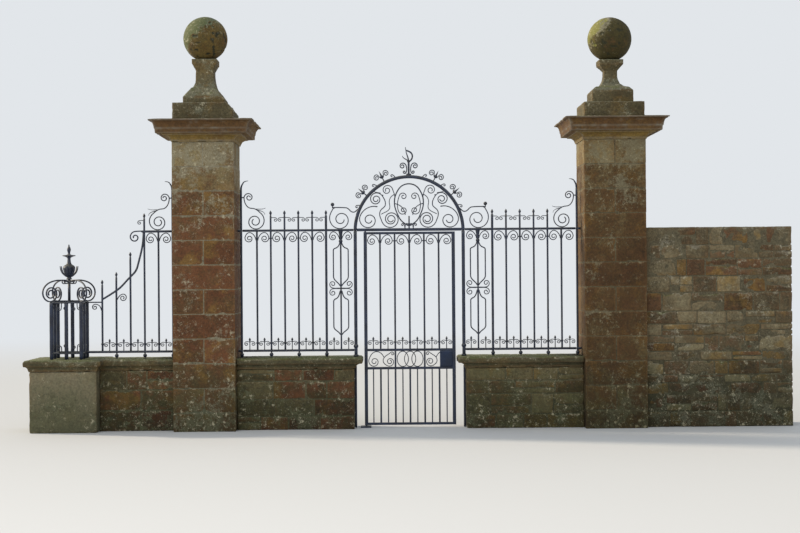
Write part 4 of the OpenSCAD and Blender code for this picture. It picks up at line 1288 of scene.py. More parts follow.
COARSE = 16
FINE = 22
BUD = [(0, 0), (7, 0), (9, 6), (6, 12), (15, 30), (12, 42), (4, 56), (0, 62)]
BUD_H = 62
DROP = [(0, 0), (5, 0), (12, 13), (11, 22), (3, 36), (0, 39)]
URN = [(0, 0), (30, 0), (30, 10), (20, 22), (36, 40), (58, 84), (66, 124), (56, 146), (34, 158), (22, 172)]
URN += [(16, 214), (18, 232), (46, 244), (70, 250), (70, 258), (24, 262), (13, 270), (13, 288), (21, 312)]
URN += [(18, 334), (6, 356), (8, 364), (0, 376)]
SPIKE_COLLAR = 82
COLLAR_H = 13
KNOB_RISE = 70
KNOB_SHARE = 0.78
BRACKET_RISE = 438
BRACKET_BAY = 313
LYRES_MEET = 0.486
UPPER_LYRE = (20, 0.2, 56, 88, 0.3, 112, 128, 24)
LOWER_LYRE = (24, 0.3, 58, 112, 0.4, 138, 240, 150)
TRUMPET_H = 92
SHOULDER_RISE = 236
DOME_H = 236


class Forge:
    """Gathers the bars, scrolls and turned parts of one piece of ironwork."""

    def __init__(self, plan: Layout) -> None:
        """Start with the shared places and an empty bench."""
        self.plan = plan
        self.parts: list[Surface] = []

    def ribbon(self, path: Line, width: float = 10, depth: float = 16, tip: float = 1.0) -> None:
        """Add a bar with softened arrises, carried along a path in the plane of the ironwork.

        Formula: each ring is the section, as wide across the path as the bar and as deep as the bar
        in Y, moved to the path's point; the hammer's marks draw it in by a layered noise.

        Args:
            path: points in X and Z, shape (n, 2).
            width: width across the path, in its plane.
            depth: depth in Y.
            tip: share of the width that is left at the far end.
        """
        path = np.asarray(path, float)
        steps = np.linalg.norm(np.diff(path, axis=0), axis=1)
        counts = np.maximum(1, np.ceil(steps / LONGEST_STEP).astype(int))
        starts = np.repeat(np.arange(len(steps)), counts)
        parts = np.concatenate([np.arange(n) / n for n in counts])[:, None]
        line = np.concatenate([path[starts] + (path[starts + 1] - path[starts]) * parts, path[-1:]])
        first, last = line[1] - line[0], line[-1] - line[-2]
        nib = min(NIB * width, NIB_REACH * np.linalg.norm(first), NIB_REACH * np.linalg.norm(last))
        near, far = line[:1] + unit(first) * nib, line[-1:] - unit(last) * nib
        line = np.concatenate([line[:1], near, line[1:-1], far, line[-1:]])
        ahead = np.gradient(line, axis=0)
        ahead /= np.linalg.norm(ahead, axis=1, keepdims=True)
        run = np.concatenate([[0], np.cumsum(np.linalg.norm(np.diff(line, axis=0), axis=1))])
        share = 1 + (tip - 1) * run / run[-1]
        end = np.ones(len(line))
        end[[0, -1]] = END_SHARE
        across = np.stack([ahead[:, 1], np.zeros(len(line)), -ahead[:, 0]], axis=1)
        middle = np.stack([line[:, 0], np.zeros(len(line)), line[:, 1]], axis=1)
        wide = (share * end * width)[:, None, None] * SECTION[None, :, :1] * across[:, None, :]
        deep = (end * (0.4 + 0.6 * share) * depth)[:, None, None] * SECTION[None, :, 1:]
        out = wide + deep * np.array([0.0, 1.0, 0.0])
        dent = 1 - DENT * (1 + layered(middle[:, None] + out, DENT_CELL, 2, 9))
        self.parts.append(Surface.of_rings(middle[:, None] + out * dent[..., None]))

    def crook(
        self, start: Point, heading: Point, volute: Volute, steps: int = COARSE, width: float = 10,
        swing: float = HANDLE,
    ) -> None:
        """Add a stem from a point that curls into a volute."""
        start, end = np.array(start, float), volute.rim()
        handle = np.linalg.norm(end - start) * swing
        near, far = start + unit(heading) * handle, end + volute.leave() * handle
        stem = bezier(start, near, far, end, steps * 0.6)
        self.ribbon(np.concatenate([stem, volute.winding(steps)]), width)

    def scroll(self, first: Volute, last: Volute, width: float = 10) -> None:
        """Add a bar that curls into a volute at each end."""
        start, end = first.rim(), last.rim()
        handle = np.linalg.norm(end - start) * HANDLE
        near, far = start + first.leave() * handle, end + last.leave() * handle
        middle = bezier(start, near, far, end, FINE * 0.7)
        self.ribbon(np.concatenate([first.winding(FINE)[::-1], middle, last.winding(FINE)]), width)

    def upright(self, x: float, z0: float, z1: float, width: float, depth: float | None = None) -> None:
        """Add an upright bar, as deep as it is wide if no depth is given."""
        self.ribbon(np.array([[x, z0], [x, z1]]), width, width if depth is None else depth)

    def budded(self, x: float, z0: float, tip: float, width: float) -> None:
        """Add an upright bar that ends in a bud."""
        self.upright(x, z0, tip - BUD_H + 6, width)
        self.turn(x, tip - BUD_H, BUD, 2, 12)

    def rail(self, x0: float, x1: float, z: float, height: float, depth: float) -> None:
        """Add a level bar."""
        self.ribbon(np.array([[x0, z], [x1, z]]), height, depth)

    def rails(self, x0: float, x1: float) -> None:
        """Add the upper and the lower rail of a bay."""
        for z in (self.plan.transom_z, self.plan.low_rail_z):
            self.rail(x0, x1, z, self.plan.rail_h, self.plan.rail_d)

    def collar(self, x: float, z: float, half: float, depth: float = 25) -> None:
        """Add a band forged round a bar and the scrolls beside it."""
        self.rail(x - half, x + half, z, COLLAR_H, depth)

    def turn(self, x: float, z: float, profile: Line, rounds: int, sides: int = 16) -> None:
        """Add a piece turned about an upright axis in the plane of the ironwork.

        Args:
            x: place of the axis.
            z: height of the profile's foot.
            profile: radius and height of each point, from the foot up.
            rounds: how often the profile's corners are cut.
            sides: points in a ring.
        """
        line, turn = softened(profile, rounds), circle(sides)
        radius = np.maximum(line[:, :1], 0.3)
        rings = [x + radius * np.cos(turn), radius * np.sin(turn), z + line[:, 1:] + 0 * turn]
        self.parts.append(Surface.of_rings(np.stack(rings, axis=-1)))

    def knob(self, x: float, z: float, radius: float) -> None:
        """Add a turned knob threaded on a bar."""
        lift = np.radians(np.linspace(-84, 84, 10))
        self.turn(x, z, np.stack([radius * np.cos(lift), radius * np.sin(lift)], axis=1), 0, 14)

    def bar_knob(self, x: float, rail_top: float) -> None:
        """Add the knob that a bar has above its lower rail."""
        self.knob(x, rail_top + KNOB_RISE, self.plan.bar_w * KNOB_SHARE)

    def spike(self, x: float, z: float, room: float) -> None:
        """Add a thin bar with a drop tip; its collar holds two curls that fill the room beside it."""
        thin, band = self.plan.thin_w, z + SPIKE_COLLAR
        self.upright(x, z - 1.5, band + 8, thin - 3)
        self.collar(x, band, thin * 0.65, thin + 3)
        self.turn(x, band + 6, DROP, 2, 10)
        for s in (-1, 1):
            curl = Volute(x + s * room * 0.58, band - room * 0.36, room * 0.41, 90 - s * 10, 1.3, -s)
            self.crook([x + s * thin / 4, band - 1], [s, 0.25], curl, COARSE, 8)

    def capital(self, x: float, z: float, bay: float, edge: float) -> None:
        """Add two stems that spread from a bar, arch under the rail and curl in by the next bars."""
        shift = bay * 0.054
        radius = bay / 2 - shift - edge - self.plan.scroll_t / 2 - 1
        self.collar(x, z - 86, self.plan.bar_w / 2 + 5)
        for s in (-1, 1):
            curl = Volute(x + s * (bay / 2 + shift), z - 70, radius, 90 - s * 75, 1.5, -s)
            self.crook([x + s * (self.plan.bar_w / 2 - 1.5), z - 90], [s * 0.2, 1], curl, FINE, 10, 0.72)

    def tie(self, x: float, z: float, edge: float) -> None:
        """Add the collar that holds two curls to the bar between them."""
        self.collar(x, z - 70, edge + 2.5)

    def tip_curl(self, x: float, s: int, tip: float) -> None:
        """Add a small curl that hangs from the side of a bar under its tip."""
        radius = self.plan.screen_pitch / 6
        curl = Volute(x + s * self.plan.screen_pitch / 3, tip - 78 - radius, radius, 90, 1.2, -s)
        self.crook([x + s * (self.plan.bar_w / 2 - 1.5), tip - 78], [s, 0.1], curl, COARSE, 8)

    def foot_knob(self, x: float) -> float:
        """Thread a ball on a bar halfway between the coping and the lower rail; gives the whole gap."""
        gap = self.plan.low_rail_z - self.plan.rail_h / 2 - self.plan.coping_top
        self.knob(x, self.plan.coping_top + gap / 2, min(21, gap / 2 - 3))
        return gap

    def ball_foot(self, x: float) -> None:
        """Add a ball on a short stem of its own, under a bar that stops at the lower rail."""
        gap = self.foot_knob(x)
        self.turn(x, self.plan.coping_top, [(0, 0), (13, 0), (12, 4), (8, 7), (8, gap + 1.5)], 0)

    def oval(self, x: float, z: float, rx: float, rz: float, thick: float) -> None:
        """Add an upright ring: a bar whose path closes on itself."""
        turn = np.radians(np.linspace(-90, 270, 41))
        path = [x + (rx - thick / 2) * np.cos(turn), z + (rz - thick / 2) * np.sin(turn)]
        self.ribbon(np.stack(path, axis=1), thick)

    def surface(self) -> Surface:
        """Everything made so far as one surface, in metres."""
        made = Surface.merged(self.parts)
        return replace(made, points=made.points * MM)


@dataclass
class Overthrow:
    """The posts, the arch and all that fills and crowns it."""

    plan: Layout

    def spot(self, x: float, z: float) -> list[float]:
        """A point of the overthrow, from the middle of the transom's top."""
        return [x, self.plan.transom_top + z]

    def volute(self, x: float, z: float, *shape: float) -> Volute:
        """A volute placed from the middle of the transom's top."""
        return Volute(*self.spot(x, z), *shape)

    def posts(self) -> Surface:
        """The right post with its base, its knob and the leg under the coping."""
        plan, forge = self.plan, Forge(self.plan)
        x, top = plan.post_x, plan.coping_top
        forge.upright(x, top, plan.arch_z + 4, plan.post_w)
        forge.knob(x, top + 110, plan.post_w * 0.72)
        forge.rail(x - plan.post_w * 0.75, x + plan.post_w * 0.75, top + 10, 20, plan.post_w * 1.5)
        forge.upright(plan.wall_x - plan.leg_w / 2, 0, top - plan.coping_h * 0.82, plan.leg_w)
        return forge.surface()

    def arch(self) -> Surface:
        """The arch: a bar bent to a half circle that stands on the posts."""
        plan, forge = self.plan, Forge(self.plan)
        turn = np.radians(np.linspace(0, 180, 97))
        path = [plan.post_x * np.cos(turn), plan.arch_z + plan.post_x * np.sin(turn)]
        forge.ribbon(np.stack(path, axis=1)[::-1], plan.post_w, plan.post_w)
        return forge.surface()

    def heart(self, forge: Forge) -> None:
        """One side of the heart-shaped ring, and what fills it."""
        spot, volute = self.spot, self.volute
        forge.ribbon(via([(spot(-4, 25), (1, 0.4)), (spot(111, 125), (0.45, 1)), (spot(154, 275), (0, 1)),
                          (spot(114, 408), (-0.6, 1)), (spot(-4, 472), (-1, 0))]), 14)
        forge.scroll(volute(58, 337, 44, 20, 1.3, 1), volute(62, 191, 50, -20, 1.3, -1))
        forge.ribbon(via([(spot(150, 263), (-1, -0.3)), (spot(62, 205), (-0.6, -1)),
                          (spot(40, 140), (0, -1))]))
        for s in (-1, 1):
            forge.crook(spot(44 - s * 3, -2), [s * 0.5, 1], volute(44 + s * 25, 36, 17, 90 + s * 60, 1.1, -s))

    def side(self, forge: Forge) -> None:
        """The volutes between the heart and the arch on one side."""
        spot, volute = self.spot, self.volute
        haunch, spiral = volute(350, 309, 76, 146, 1.9, -1), volute(193, 97, 98, -20, 2.4, -1)
        knots = [(spot(250, 255), (0.05, -1)), (spot(308, 178), (0.3, -1))]
        forge.ribbon(volute_to(haunch, knots, spiral, FINE), 11)
        forge.collar(*spot(281, 352), 10, 21)
        forge.crook(spot(150, 330), [0, 1], volute(232, 405, 60, 165, 1.6, -1), FINE)
        forge.ribbon(via([(spot(149, 362), (1, -0.4)), (spot(209, 288), (0.1, -1)), (spot(203, 228), (0, -1)),
                          (spot(296, 150), (1, -0.6))]), 9)
        forge.crook(spot(334, 229), [1, 0.3], volute(425, 90, 103, 10, 1.5, -1), FINE, 11)
        forge.collar(*spot(345, 232), 10, 21)
        forge.ribbon(via([(spot(300, 376), (1, 0.15)), (spot(392, 400), (1, 0.5))]), 8)

    def inside_arch(self, surface: Surface) -> Surface:
        """Draw points that pass the arch's middle line, or sink in the transom, back into the bars."""
        centre = np.array([0.0, 0.0, self.plan.arch_z * MM])
        away = (surface.points - centre) * np.array([1.0, 0.0, 1.0])
        radius = np.linalg.norm(away, axis=1, keepdims=True)
        limit = (self.plan.post_x - 4) * MM
        surface.points -= away * np.maximum(radius - limit, 0) / np.maximum(radius, 1e-9)
        surface.points[:, 2] = np.maximum(surface.points[:, 2], (self.plan.transom_z + 2) * MM)
        return surface

    def scrolls(self) -> Surface:
        """Everything inside the arch."""
        half = Forge(self.plan)
        self.heart(half)
        self.side(half)
        right = self.inside_arch(half.surface())
        stem = Forge(self.plan)
        stem.upright(0, self.plan.transom_top, self.plan.transom_top + 130, self.plan.bar_w - 4, 16)
        return Surface.merged([right, right.mirrored(), stem.surface()])

    def finial(self) -> Surface:
        """The crown: a stem with two pairs of curls, a leaning tip and its leaves."""
        plan, forge = self.plan, Forge(self.plan)
        crown = plan.arch_z + plan.arch_out
        forge.upright(0, crown - 6, crown + 150, 22, 16)
        forge.rail(-26, 26, crown + 6, 20, 26)
        forge.collar(0, crown + 142, 17)
        for knots, width, tip in (
            ([((0, 140), (0, 1)), ((-28, 262), (-0.1, 1)), ((-34, 298), (-0.1, 1))], 18, 0.35),
            ([((4, 144), (1, 0.5)), ((40, 208), (-0.1, 1)), ((-26, 262), (-1, 0.3))], 17, 1.0),
            ([((-2, 144), (-0.6, 1)), ((-66, 204), (-0.2, 1))], 15, 0.4),
        ):
            forge.ribbon(via([((x, z + crown), heading) for (x, z), heading in knots]), width, 16, tip)
        side = Forge(plan)
        side.scroll(Volute(66, crown + 96, 38, 160, 1.4, -1), Volute(46, crown + 34, 20, 200, 1.1, 1), 12)
        pair = side.surface()
        return Surface.merged([forge.surface(), pair, pair.mirrored()])

    def on_arch(self, surface: Surface, angle: float) -> Surface:
        """Turn a piece drawn upright at the origin so that it stands on the back of the arch."""
        lean = math.radians(90 - angle)
        x, z = surface.points[:, 0].copy(), surface.points[:, 2] + self.plan.arch_out * MM
        surface.points[:, 0] = x * math.cos(lean) + z * math.sin(lean)
        surface.points[:, 2] = z * math.cos(lean) - x * math.sin(lean) + self.plan.arch_z * MM
        return surface

    def crocket(self, angle: float, size: float) -> Surface:
        """A leaf ball on a short stem, with a curl on each side and a spike above."""
        middle, side = Forge(self.plan), Forge(self.plan)
        middle.upright(0, -8, size, 12)
        middle.knob(0, size + 8, 18)
        middle.turn(0, size + 20, [(0, 0), (11, 0), (6, 26), (0, 60)], 2, 10)
        side.crook([5, size - 6], [1, 0.3], Volute(54, size + 22, 34, 100, 1.4, -1), FINE, 10)
        curl = side.surface()
        return self.on_arch(Surface.merged([middle.surface(), curl, curl.mirrored()]), angle)

    def hook_leaf(self, angle: float) -> Surface:
        """A small leaf that hooks off the arch."""
        forge = Forge(self.plan)
        forge.crook([0, -8], [0.8, 1], Volute(34, 18, 14, 110, 0.8, -1), COARSE)
        return self.on_arch(forge.surface(), angle)

    def crockets(self) -> Surface:
        """The ornaments on the back of the arch, on the right."""
        parts = [self.crocket(63.5, 42), self.crocket(40, 36)]
        return Surface.merged(parts + [self.hook_leaf(angle) for angle in (55, 28, 76)])

    def build(self, material: Material) -> None:
        """Build and dress the overthrow."""
        post, row = self.posts(), self.crockets()
        pieces = {"right_gate_post": post, "left_gate_post": post.mirrored(), "arch_bar": self.arch()}
        pieces |= {"overthrow_scrolls": self.scrolls(), "arch_finial": self.finial()}
        place_iron(pieces | {"right_crockets": row, "left_crockets": row.mirrored()}, material)


@dataclass
class Leaf:
    """The bars and scrolls that fill the swinging leaf."""

    plan: Layout

    def bar_x(self, i: int) -> float:
        """Place of one of the leaf's bars, counted from the hinge stile."""
        return -self.plan.stile_x + self.plan.leaf_pitch * i

    def upper_panel(self) -> Surface:
        """Bars with capitals under the top rail and spikes over the lock rail."""
        plan, forge = self.plan, Forge(self.plan)
        low, high = plan.lock_high_z + plan.leaf_rail_h / 2, plan.leaf_top_z - plan.leaf_rail_h / 2
        for i in range(1, plan.leaf_bays):
            x = self.bar_x(i)
            forge.upright(x, low, high, plan.bar_w)
            forge.bar_knob(x, low)
            if i % 2:
                forge.capital(x, high, plan.leaf_pitch, plan.stile_w / 2)
            else:
                forge.tie(x, high, plan.stile_w / 2)
        for i in range(plan.leaf_bays):
            forge.spike(self.bar_x(i) + plan.leaf_pitch / 2, low + 1.5, (plan.leaf_pitch - plan.stile_w) / 2)
        return forge.surface()

    def lock_band(self) -> Surface:
        """Scrolls and three interlaced rings between the two middle rails."""
        plan, half, middle = self.plan, Forge(self.plan), Forge(self.plan)
        low, high = plan.lock_low_z + plan.leaf_rail_h / 2, plan.lock_high_z - plan.leaf_rail_h / 2
        zm, r = (low + high) / 2, (high - low) / 2
        inner = self.bar_x(plan.leaf_bays - 2)
        u, v = (plan.leaf_in - inner) / 294, r / 84
        half.upright(inner, low, high, plan.bar_w)
        stile_volute = Volute(inner + 224 * u, zm - 27 * v, 62 * min(u, v), 20, 1.6, -1)
        over = [((inner + 118 * u, zm + 12 * v), (0.5, 1)), ((inner + 200 * u, high - 5), (1, 0))]
        half.ribbon(knots_into(over, stile_volute, FINE), 9)
        curl = Volute(inner + 32 * u, zm + 54 * v, 22 * min(u, v), 50, 1.1, 1)
        large = Volute(inner + 59 * u, zm - 28 * v, 52 * min(u, v), -55, 1.6, -1)
        half.ribbon(volute_to(curl, [((inner + 131 * u, zm - 16 * v), (0.05, -1))], large, FINE), 9)
        width = inner / 2 - plan.bar_w / 2 + 1.5 - 5
        half.oval(inner / 2, zm, width, r + 1, 9)
        middle.oval(0, zm, width, r + 1, 9)
        side = half.surface()
        return Surface.merged([side, side.mirrored(), middle.surface()])

    def lower_panel(self) -> Surface:
        """Bars, and thinner bars between them, under the lock rail."""
        plan, forge = self.plan, Forge(self.plan)
        low, high = plan.leaf_low_z + plan.leaf_rail_h / 2, plan.lock_low_z - plan.leaf_rail_h / 2
        for i in range(1, plan.leaf_bays):
            forge.upright(self.bar_x(i), low, high, plan.bar_w)
        for i in range(plan.leaf_bays):
            forge.upright(self.bar_x(i) + plan.leaf_pitch / 2, low, high, plan.thin_w)
        return forge.surface()

    def build(self, material: Material) -> None:
        """Build and dress what the leaf carries."""
        pieces = {"leaf_upper_panel": self.upper_panel(), "leaf_lock_band": self.lock_band()}
        place_iron(pieces | {"leaf_lower_panel": self.lower_panel()}, material, "leaf")


@dataclass
class Screens:
    """The fixed railings between the posts and the piers, drawn for the right side."""

    plan: Layout

    def screen(self) -> Surface:
        """Rails, bars with buds, capitals, spikes and ball feet."""
        plan, forge = self.plan, Forge(self.plan)
        room = (plan.screen_pitch - plan.upright_w) / 2
        forge.rails(plan.pil_x + plan.upright_w / 2, plan.brk_x - plan.upright_w / 2)
        for i in range(1, plan.screen_bars + 1):
            x = plan.pil_x + plan.screen_pitch * i
            if i == plan.screen_bars:
                forge.upright(x, plan.low_rail_z, plan.transom_z, plan.bar_w)
            else:
                forge.budded(x, plan.low_rail_z, plan.tip_z, plan.bar_w)
            forge.bar_knob(x, plan.low_rail_top)
            for s in (-1, 1):
                if i + s / 2 < plan.screen_bars - 1:
                    forge.tip_curl(x, s, plan.tip_z)
            if i % 2:
                forge.capital(x, plan.transom_low, plan.screen_pitch, plan.upright_w / 2)
            else:
                forge.tie(x, plan.transom_low, plan.upright_w / 2)
                forge.ball_foot(x)
        for i in range(plan.screen_bars):
            forge.spike(plan.pil_x + plan.screen_pitch * (i + 0.5), plan.low_rail_top, room)
        end = plan.pil_x + plan.screen_pitch * plan.screen_bars
        forge.spike((end + plan.brk_x) / 2, plan.low_rail_top, room)
        return forge.surface()

    def lyre(self, s: int, z0: float, z1: float, shape: Sequence[float]) -> Array:
        """Thin bar of a lyre: out from the middle, down, and in again."""
        neck, lean, out, shoulder, fall, side, hip, foot = shape
        knots = [((s * 8, z0 - neck), (s * lean, -1)), ((s * out, z0 - shoulder), (s, -fall))]
        knots += [((s * 79, z0 - side), (0, -1)), ((s * 79, z1 + hip), (0, -1))]
        return via(knots + [((s * 8, z1 + foot), (-s * 0.4, -1))])

    def pilaster(self) -> Surface:
        """The bay beside the post: a trumpet, two lyres and the large volute above the rail."""
        plan, forge = self.plan, Forge(self.plan)
        top, trumpet = plan.transom_z, plan.transom_low - TRUMPET_H
        middle_z = top - (top - plan.low_rail_z) * LYRES_MEET
        forge.rails(plan.post_x + plan.post_w / 2, plan.pil_x)
        forge.budded(plan.pil_x, plan.coping_top, plan.tip_z, plan.upright_w)
        forge.tip_curl(plan.pil_x, 1, plan.tip_z)
        forge.upright(plan.pil_mid, plan.low_rail_z, top + plan.rail_h / 2, plan.bar_w - 2)
        forge.foot_knob(plan.pil_x)
        horn = [(9, -4), (14, 0), (14, 10), (16, TRUMPET_H * 0.5), (21, TRUMPET_H * 0.85)]
        forge.turn(plan.pil_mid, trumpet, horn + [(25, TRUMPET_H)], 1, 20)
        forge.knob(plan.pil_mid, trumpet - 14, 21)
        centred, quarter = Forge(plan), (plan.pil_x - plan.post_x) / 4
        for s in (-1, 1):
            upper = self.lyre(s, trumpet, middle_z, UPPER_LYRE)
            lower = self.lyre(s, middle_z, plan.low_rail_top, LOWER_LYRE)
            centred.ribbon(upper, plan.thin_w, plan.thin_w)
            centred.ribbon(lower, plan.thin_w, plan.thin_w)
            centred.spike(s * quarter, plan.low_rail_top, quarter - plan.post_w / 2 - 2)
            curl = Volute(s * 80, plan.transom_low - 60, 40, 90 - s * 75, 1.4, -s)
            centred.crook([s * 12, trumpet + 6], [s * 0.2, 1], curl, FINE, 10, 0.72)
            for t in (-1, 1):
                angle = -70 * t if s > 0 else 180 + 70 * t
                ring = Volute(s * 86, middle_z + t * 46, 40, angle, 1.3, s * t)
                centred.crook([s * 8, middle_z + t * 2], [s, t * 0.1], ring, FINE)
        shoulder = top + SHOULDER_RISE
        large = Volute(-3, top + plan.rail_h / 2 + 100, 128, 35, 1.6, -1)
        centred.ribbon(knots_into([((60, shoulder), (1, -0.1))], large, FINE + 4), 11)
        centred.ribbon(via([((78, shoulder + 4), (-1, 0)), ((-60, shoulder), (-1, -0.1)),
                            ((-130, top + 190), (-1, -0.2)), ((-192, top + 226), (-1, 0.8))]), 12)
        centred.knob(84, shoulder + 36, 20)
        centred.upright(84, shoulder - 4, shoulder + 20, 12)
        shifted = centred.surface()
        shifted.points[:, 0] += plan.pil_mid * MM
        forge.collar(plan.pil_mid, middle_z, 18, plan.bar_w + 8)
        return Surface.merged([forge.surface(), shifted])

    def bracket(self, x: float, away: int) -> Surface:
        """The upright beside a pier with its bracket of scrolls above the rail."""
        plan, forge = self.plan, Forge(self.plan)
        head, wide, top = plan.transom_z + BRACKET_RISE, plan.upright_w - 4, plan.transom_z
        bay = plan.brk_x - plan.pil_x - plan.screen_pitch * (plan.screen_bars - 1)
        k = bay / BRACKET_BAY

        def spot(out: float, up: float) -> Pair:
            """A point of the scrolls, from the upright at the rail's height."""
            return x + away * out * k, top + up * k

        forge.upright(x, plan.coping_top, head, wide)
        forge.foot_knob(x)
        forge.rails(*sorted((x, x - away * plan.pier_gap)))
        forge.ribbon(via([((x, head - 1.5), (0, 1)), ((x + away * 24, head + 70), (away * 0.6, 1)),
                          ((x + away * 78, head + 92), (away, 0.1))]), wide, wide - 4, 0.25)
        forge.rail(*sorted((x, spot(34, 0)[0])), spot(0, 353)[1], COLLAR_H, plan.scroll_d)
        small = Volute(*spot(84, 353), 52 * k, 180 if away > 0 else 0, 1.5, -away)
        large = Volute(spot(148, 0)[0], top + 14 + 84 * k, 106 * k, 90 - away * 40, 1.8, -away)
        forge.ribbon(volute_to(small, [(spot(112, 238), (away, 0))], large, FINE + 4), 11)
        for knots in (
            [((150, 228), (1, 0.1)), ((262, 241), (1, 0.5))],
            [((176, 217), (1, -0.2)), ((252, 168), (0, -1))],
        ):
            forge.ribbon(via([(spot(*p), (away * h[0], h[1])) for p, h in knots]), 10, 16, 0.4)
        return forge.surface()

    def build(self, material: Material) -> None:
        """Build and dress both sides."""
        pieces = {"screen": self.screen(), "pilaster": self.pilaster()}
        pieces["pier_bracket"] = self.bracket(self.plan.brk_x, -1)
        for part, right in pieces.items():
            place_iron({f"right_{part}": right, f"left_{part}": right.mirrored()}, material)


@dataclass
class Wing:
    """The ramped railing on the left and the openwork box standard at its end."""

    plan: Layout

    def bar_x(self, i: float) -> float:
        """Place of one of the wing's bars, counted from the pier."""
        return self.plan.wing_x + self.plan.wing_pitch * i

    def railing(self) -> Surface:
        """The ramped rail with its bars, drawn for the right side."""
        plan, forge = self.plan, Forge(self.plan)
        ramp_x, ramp_end = self.bar_x(2), self.bar_x(plan.wing_bars)
        drop, side = plan.transom_z - plan.standard_top_z, plan.std_x - plan.standard_w / 2
        x0 = plan.wing_x + (plan.upright_w - 4) / 2
        forge.rail(x0, ramp_x + 30, plan.transom_z, plan.rail_h, plan.rail_d)
        knots = [(8, 0.015, (0, -1)), (74, 0.503, (0.25, -1)), (162, 0.665, (1, -1))]
        knots += [(300, 0.845, (1, -0.65)), (ramp_end - ramp_x, 0.97, (1, -0.55))]
        path = [((ramp_x + x, plan.transom_z - drop * share), heading) for x, share, heading in knots]
        forge.ribbon(via(path), plan.rail_h - 4, plan.rail_d - 6)
        curl = Volute(ramp_x + 98, plan.transom_z - 62, 62, 80, 1.3, -1)
        forge.crook([ramp_x + 28.5, plan.transom_z + 4], [1, 0], curl, FINE, 14)
        forge.rail(x0, side, plan.low_rail_z, plan.rail_h, plan.rail_d)
        # The first bar stops at the rail, the second rises above it, and the rest follow the ramp
        forge.upright(self.bar_x(1), plan.low_rail_z, plan.transom_z, plan.bar_w)
        forge.bar_knob(self.bar_x(1), plan.low_rail_top)
        rises = (plan.tip_rise - 20, -drop * 0.29, -drop * 0.576, -drop * 0.686)
        for i, rise in enumerate(rises, 2):
            x, tip = self.bar_x(i), plan.transom_z + rise
            forge.budded(x, plan.low_rail_z, tip, plan.bar_w)
            forge.bar_knob(x, plan.low_rail_top)
            if i == 2:
                forge.tip_curl(x, 1, tip)
            if i % 2 == 0:
                forge.ball_foot(x)
        for i in range(plan.wing_bars):
            forge.spike(self.bar_x(i + 0.5), plan.low_rail_top, (plan.wing_pitch - plan.upright_w) / 2)
        forge.capital(self.bar_x(1), plan.transom_low, plan.wing_pitch, plan.upright_w / 2)
        pitch = plan.wing_pitch
        under = Volute(ramp_x + pitch * 1.55, plan.transom_z - drop * 0.95, 40, 150, 1.3, 1)
        foot = [ramp_x + pitch * 2 - 8, plan.transom_z - drop * 0.98]
        forge.crook(foot, [-0.3, 1], under, FINE, 10, 0.5)
        forge.rail(ramp_end, side, plan.standard_top_z - 8, 14, plan.rail_d - 6)
        link = Volute(ramp_end + 78, plan.standard_top_z - 62, 34, 100, 1.3, -1)
        forge.crook([ramp_end + 8, plan.standard_top_z - 96], [0.3, 1], link, FINE, 10, 0.5)
        return forge.surface()

    def spun(self, surface: Surface, degrees: float, out: float = 0.0) -> Surface:
        """Turn a surface about the standard's upright axis, after moving it forward by out."""
        turn = math.radians(degrees)
        x, y, z = surface.points.T - np.array([[0.0], [out * MM], [0.0]])
        across = x * math.cos(turn) - y * math.sin(turn) + self.plan.std_x * MM
        along = x * math.sin(turn) + y * math.cos(turn)
        return replace(surface, points=np.stack([across, along, z], axis=1))

    def cage(self) -> Surface:
        """The box: four sides of corner bars, bands and curls."""
        plan, forge = self.plan, Forge(self.plan)
        cage_w, band = 38, 16
        half = plan.standard_w / 2 - cage_w / 2
        bay, top = half / 2, plan.standard_top_z
        low = plan.low_rail_z - plan.rail_h / 2 + band / 2
        forge.upright(-half, plan.coping_top, top, cage_w)
        forge.upright(0, plan.coping_top, top, cage_w, cage_w - 4)
        for z in (low, top - band / 2):
            forge.rail(-half, half, z, band, cage_w)
        for s in (-1, 1):
            upper = Volute(s * bay, top - band / 2 - 62, 25, 190 if s > 0 else -10, 1.1, s)
            lower = Volute(s * bay, low + 62, 25, 170 if s > 0 else 10, 1.1, -s)
            forge.crook([s * (bay - 28), top - band / 2], [0, -1], upper, COARSE, 9)
            forge.crook([s * (bay - 28), low], [0, 1], lower, COARSE, 9)
        side = forge.surface()
        return Surface.merged([self.spun(side, degrees, half) for degrees in (0, 90, 180, 270)])

    def dome(self) -> Surface:
        """Four large scrolls that stand on the box's corners and are drawn up to the urn."""
        plan = self.plan
        top, tall = plan.standard_top_z, DOME_H
        core, cross, arm = Forge(plan), Forge(plan), Forge(plan)
        core.turn(0, top, [(15, 0), (15, tall)], 0)
        cross.rail(-plan.standard_w / 2, plan.standard_w / 2, top + 8, 16, 14)
        large = Volute(226, top + 89, 102, 30, 2.2, -1)
        stem = [((8, top + tall - 26), (1, 0.45)), ((150, top + tall - 8), (1, -0.15))]
        arm.ribbon(knots_into(stem, large, FINE + 4), 15)
        curl = Volute(70, top + tall - 20, 24, -90, 0.9, 1)
        arm.crook([8, top + tall - 36], [1, -0.1], curl, COARSE, 10, 0.4)
        bar, scroll = cross.surface(), arm.surface()
        scroll.points[:, 2] = np.clip(scroll.points[:, 2], top * MM, (top + tall) * MM)
        parts = [self.spun(core.surface(), 0)] + [self.spun(bar, degrees) for degrees in (0, 90)]
        return Surface.merged(parts + [self.spun(scroll, degrees) for degrees in (45, 135, 225, 315)])

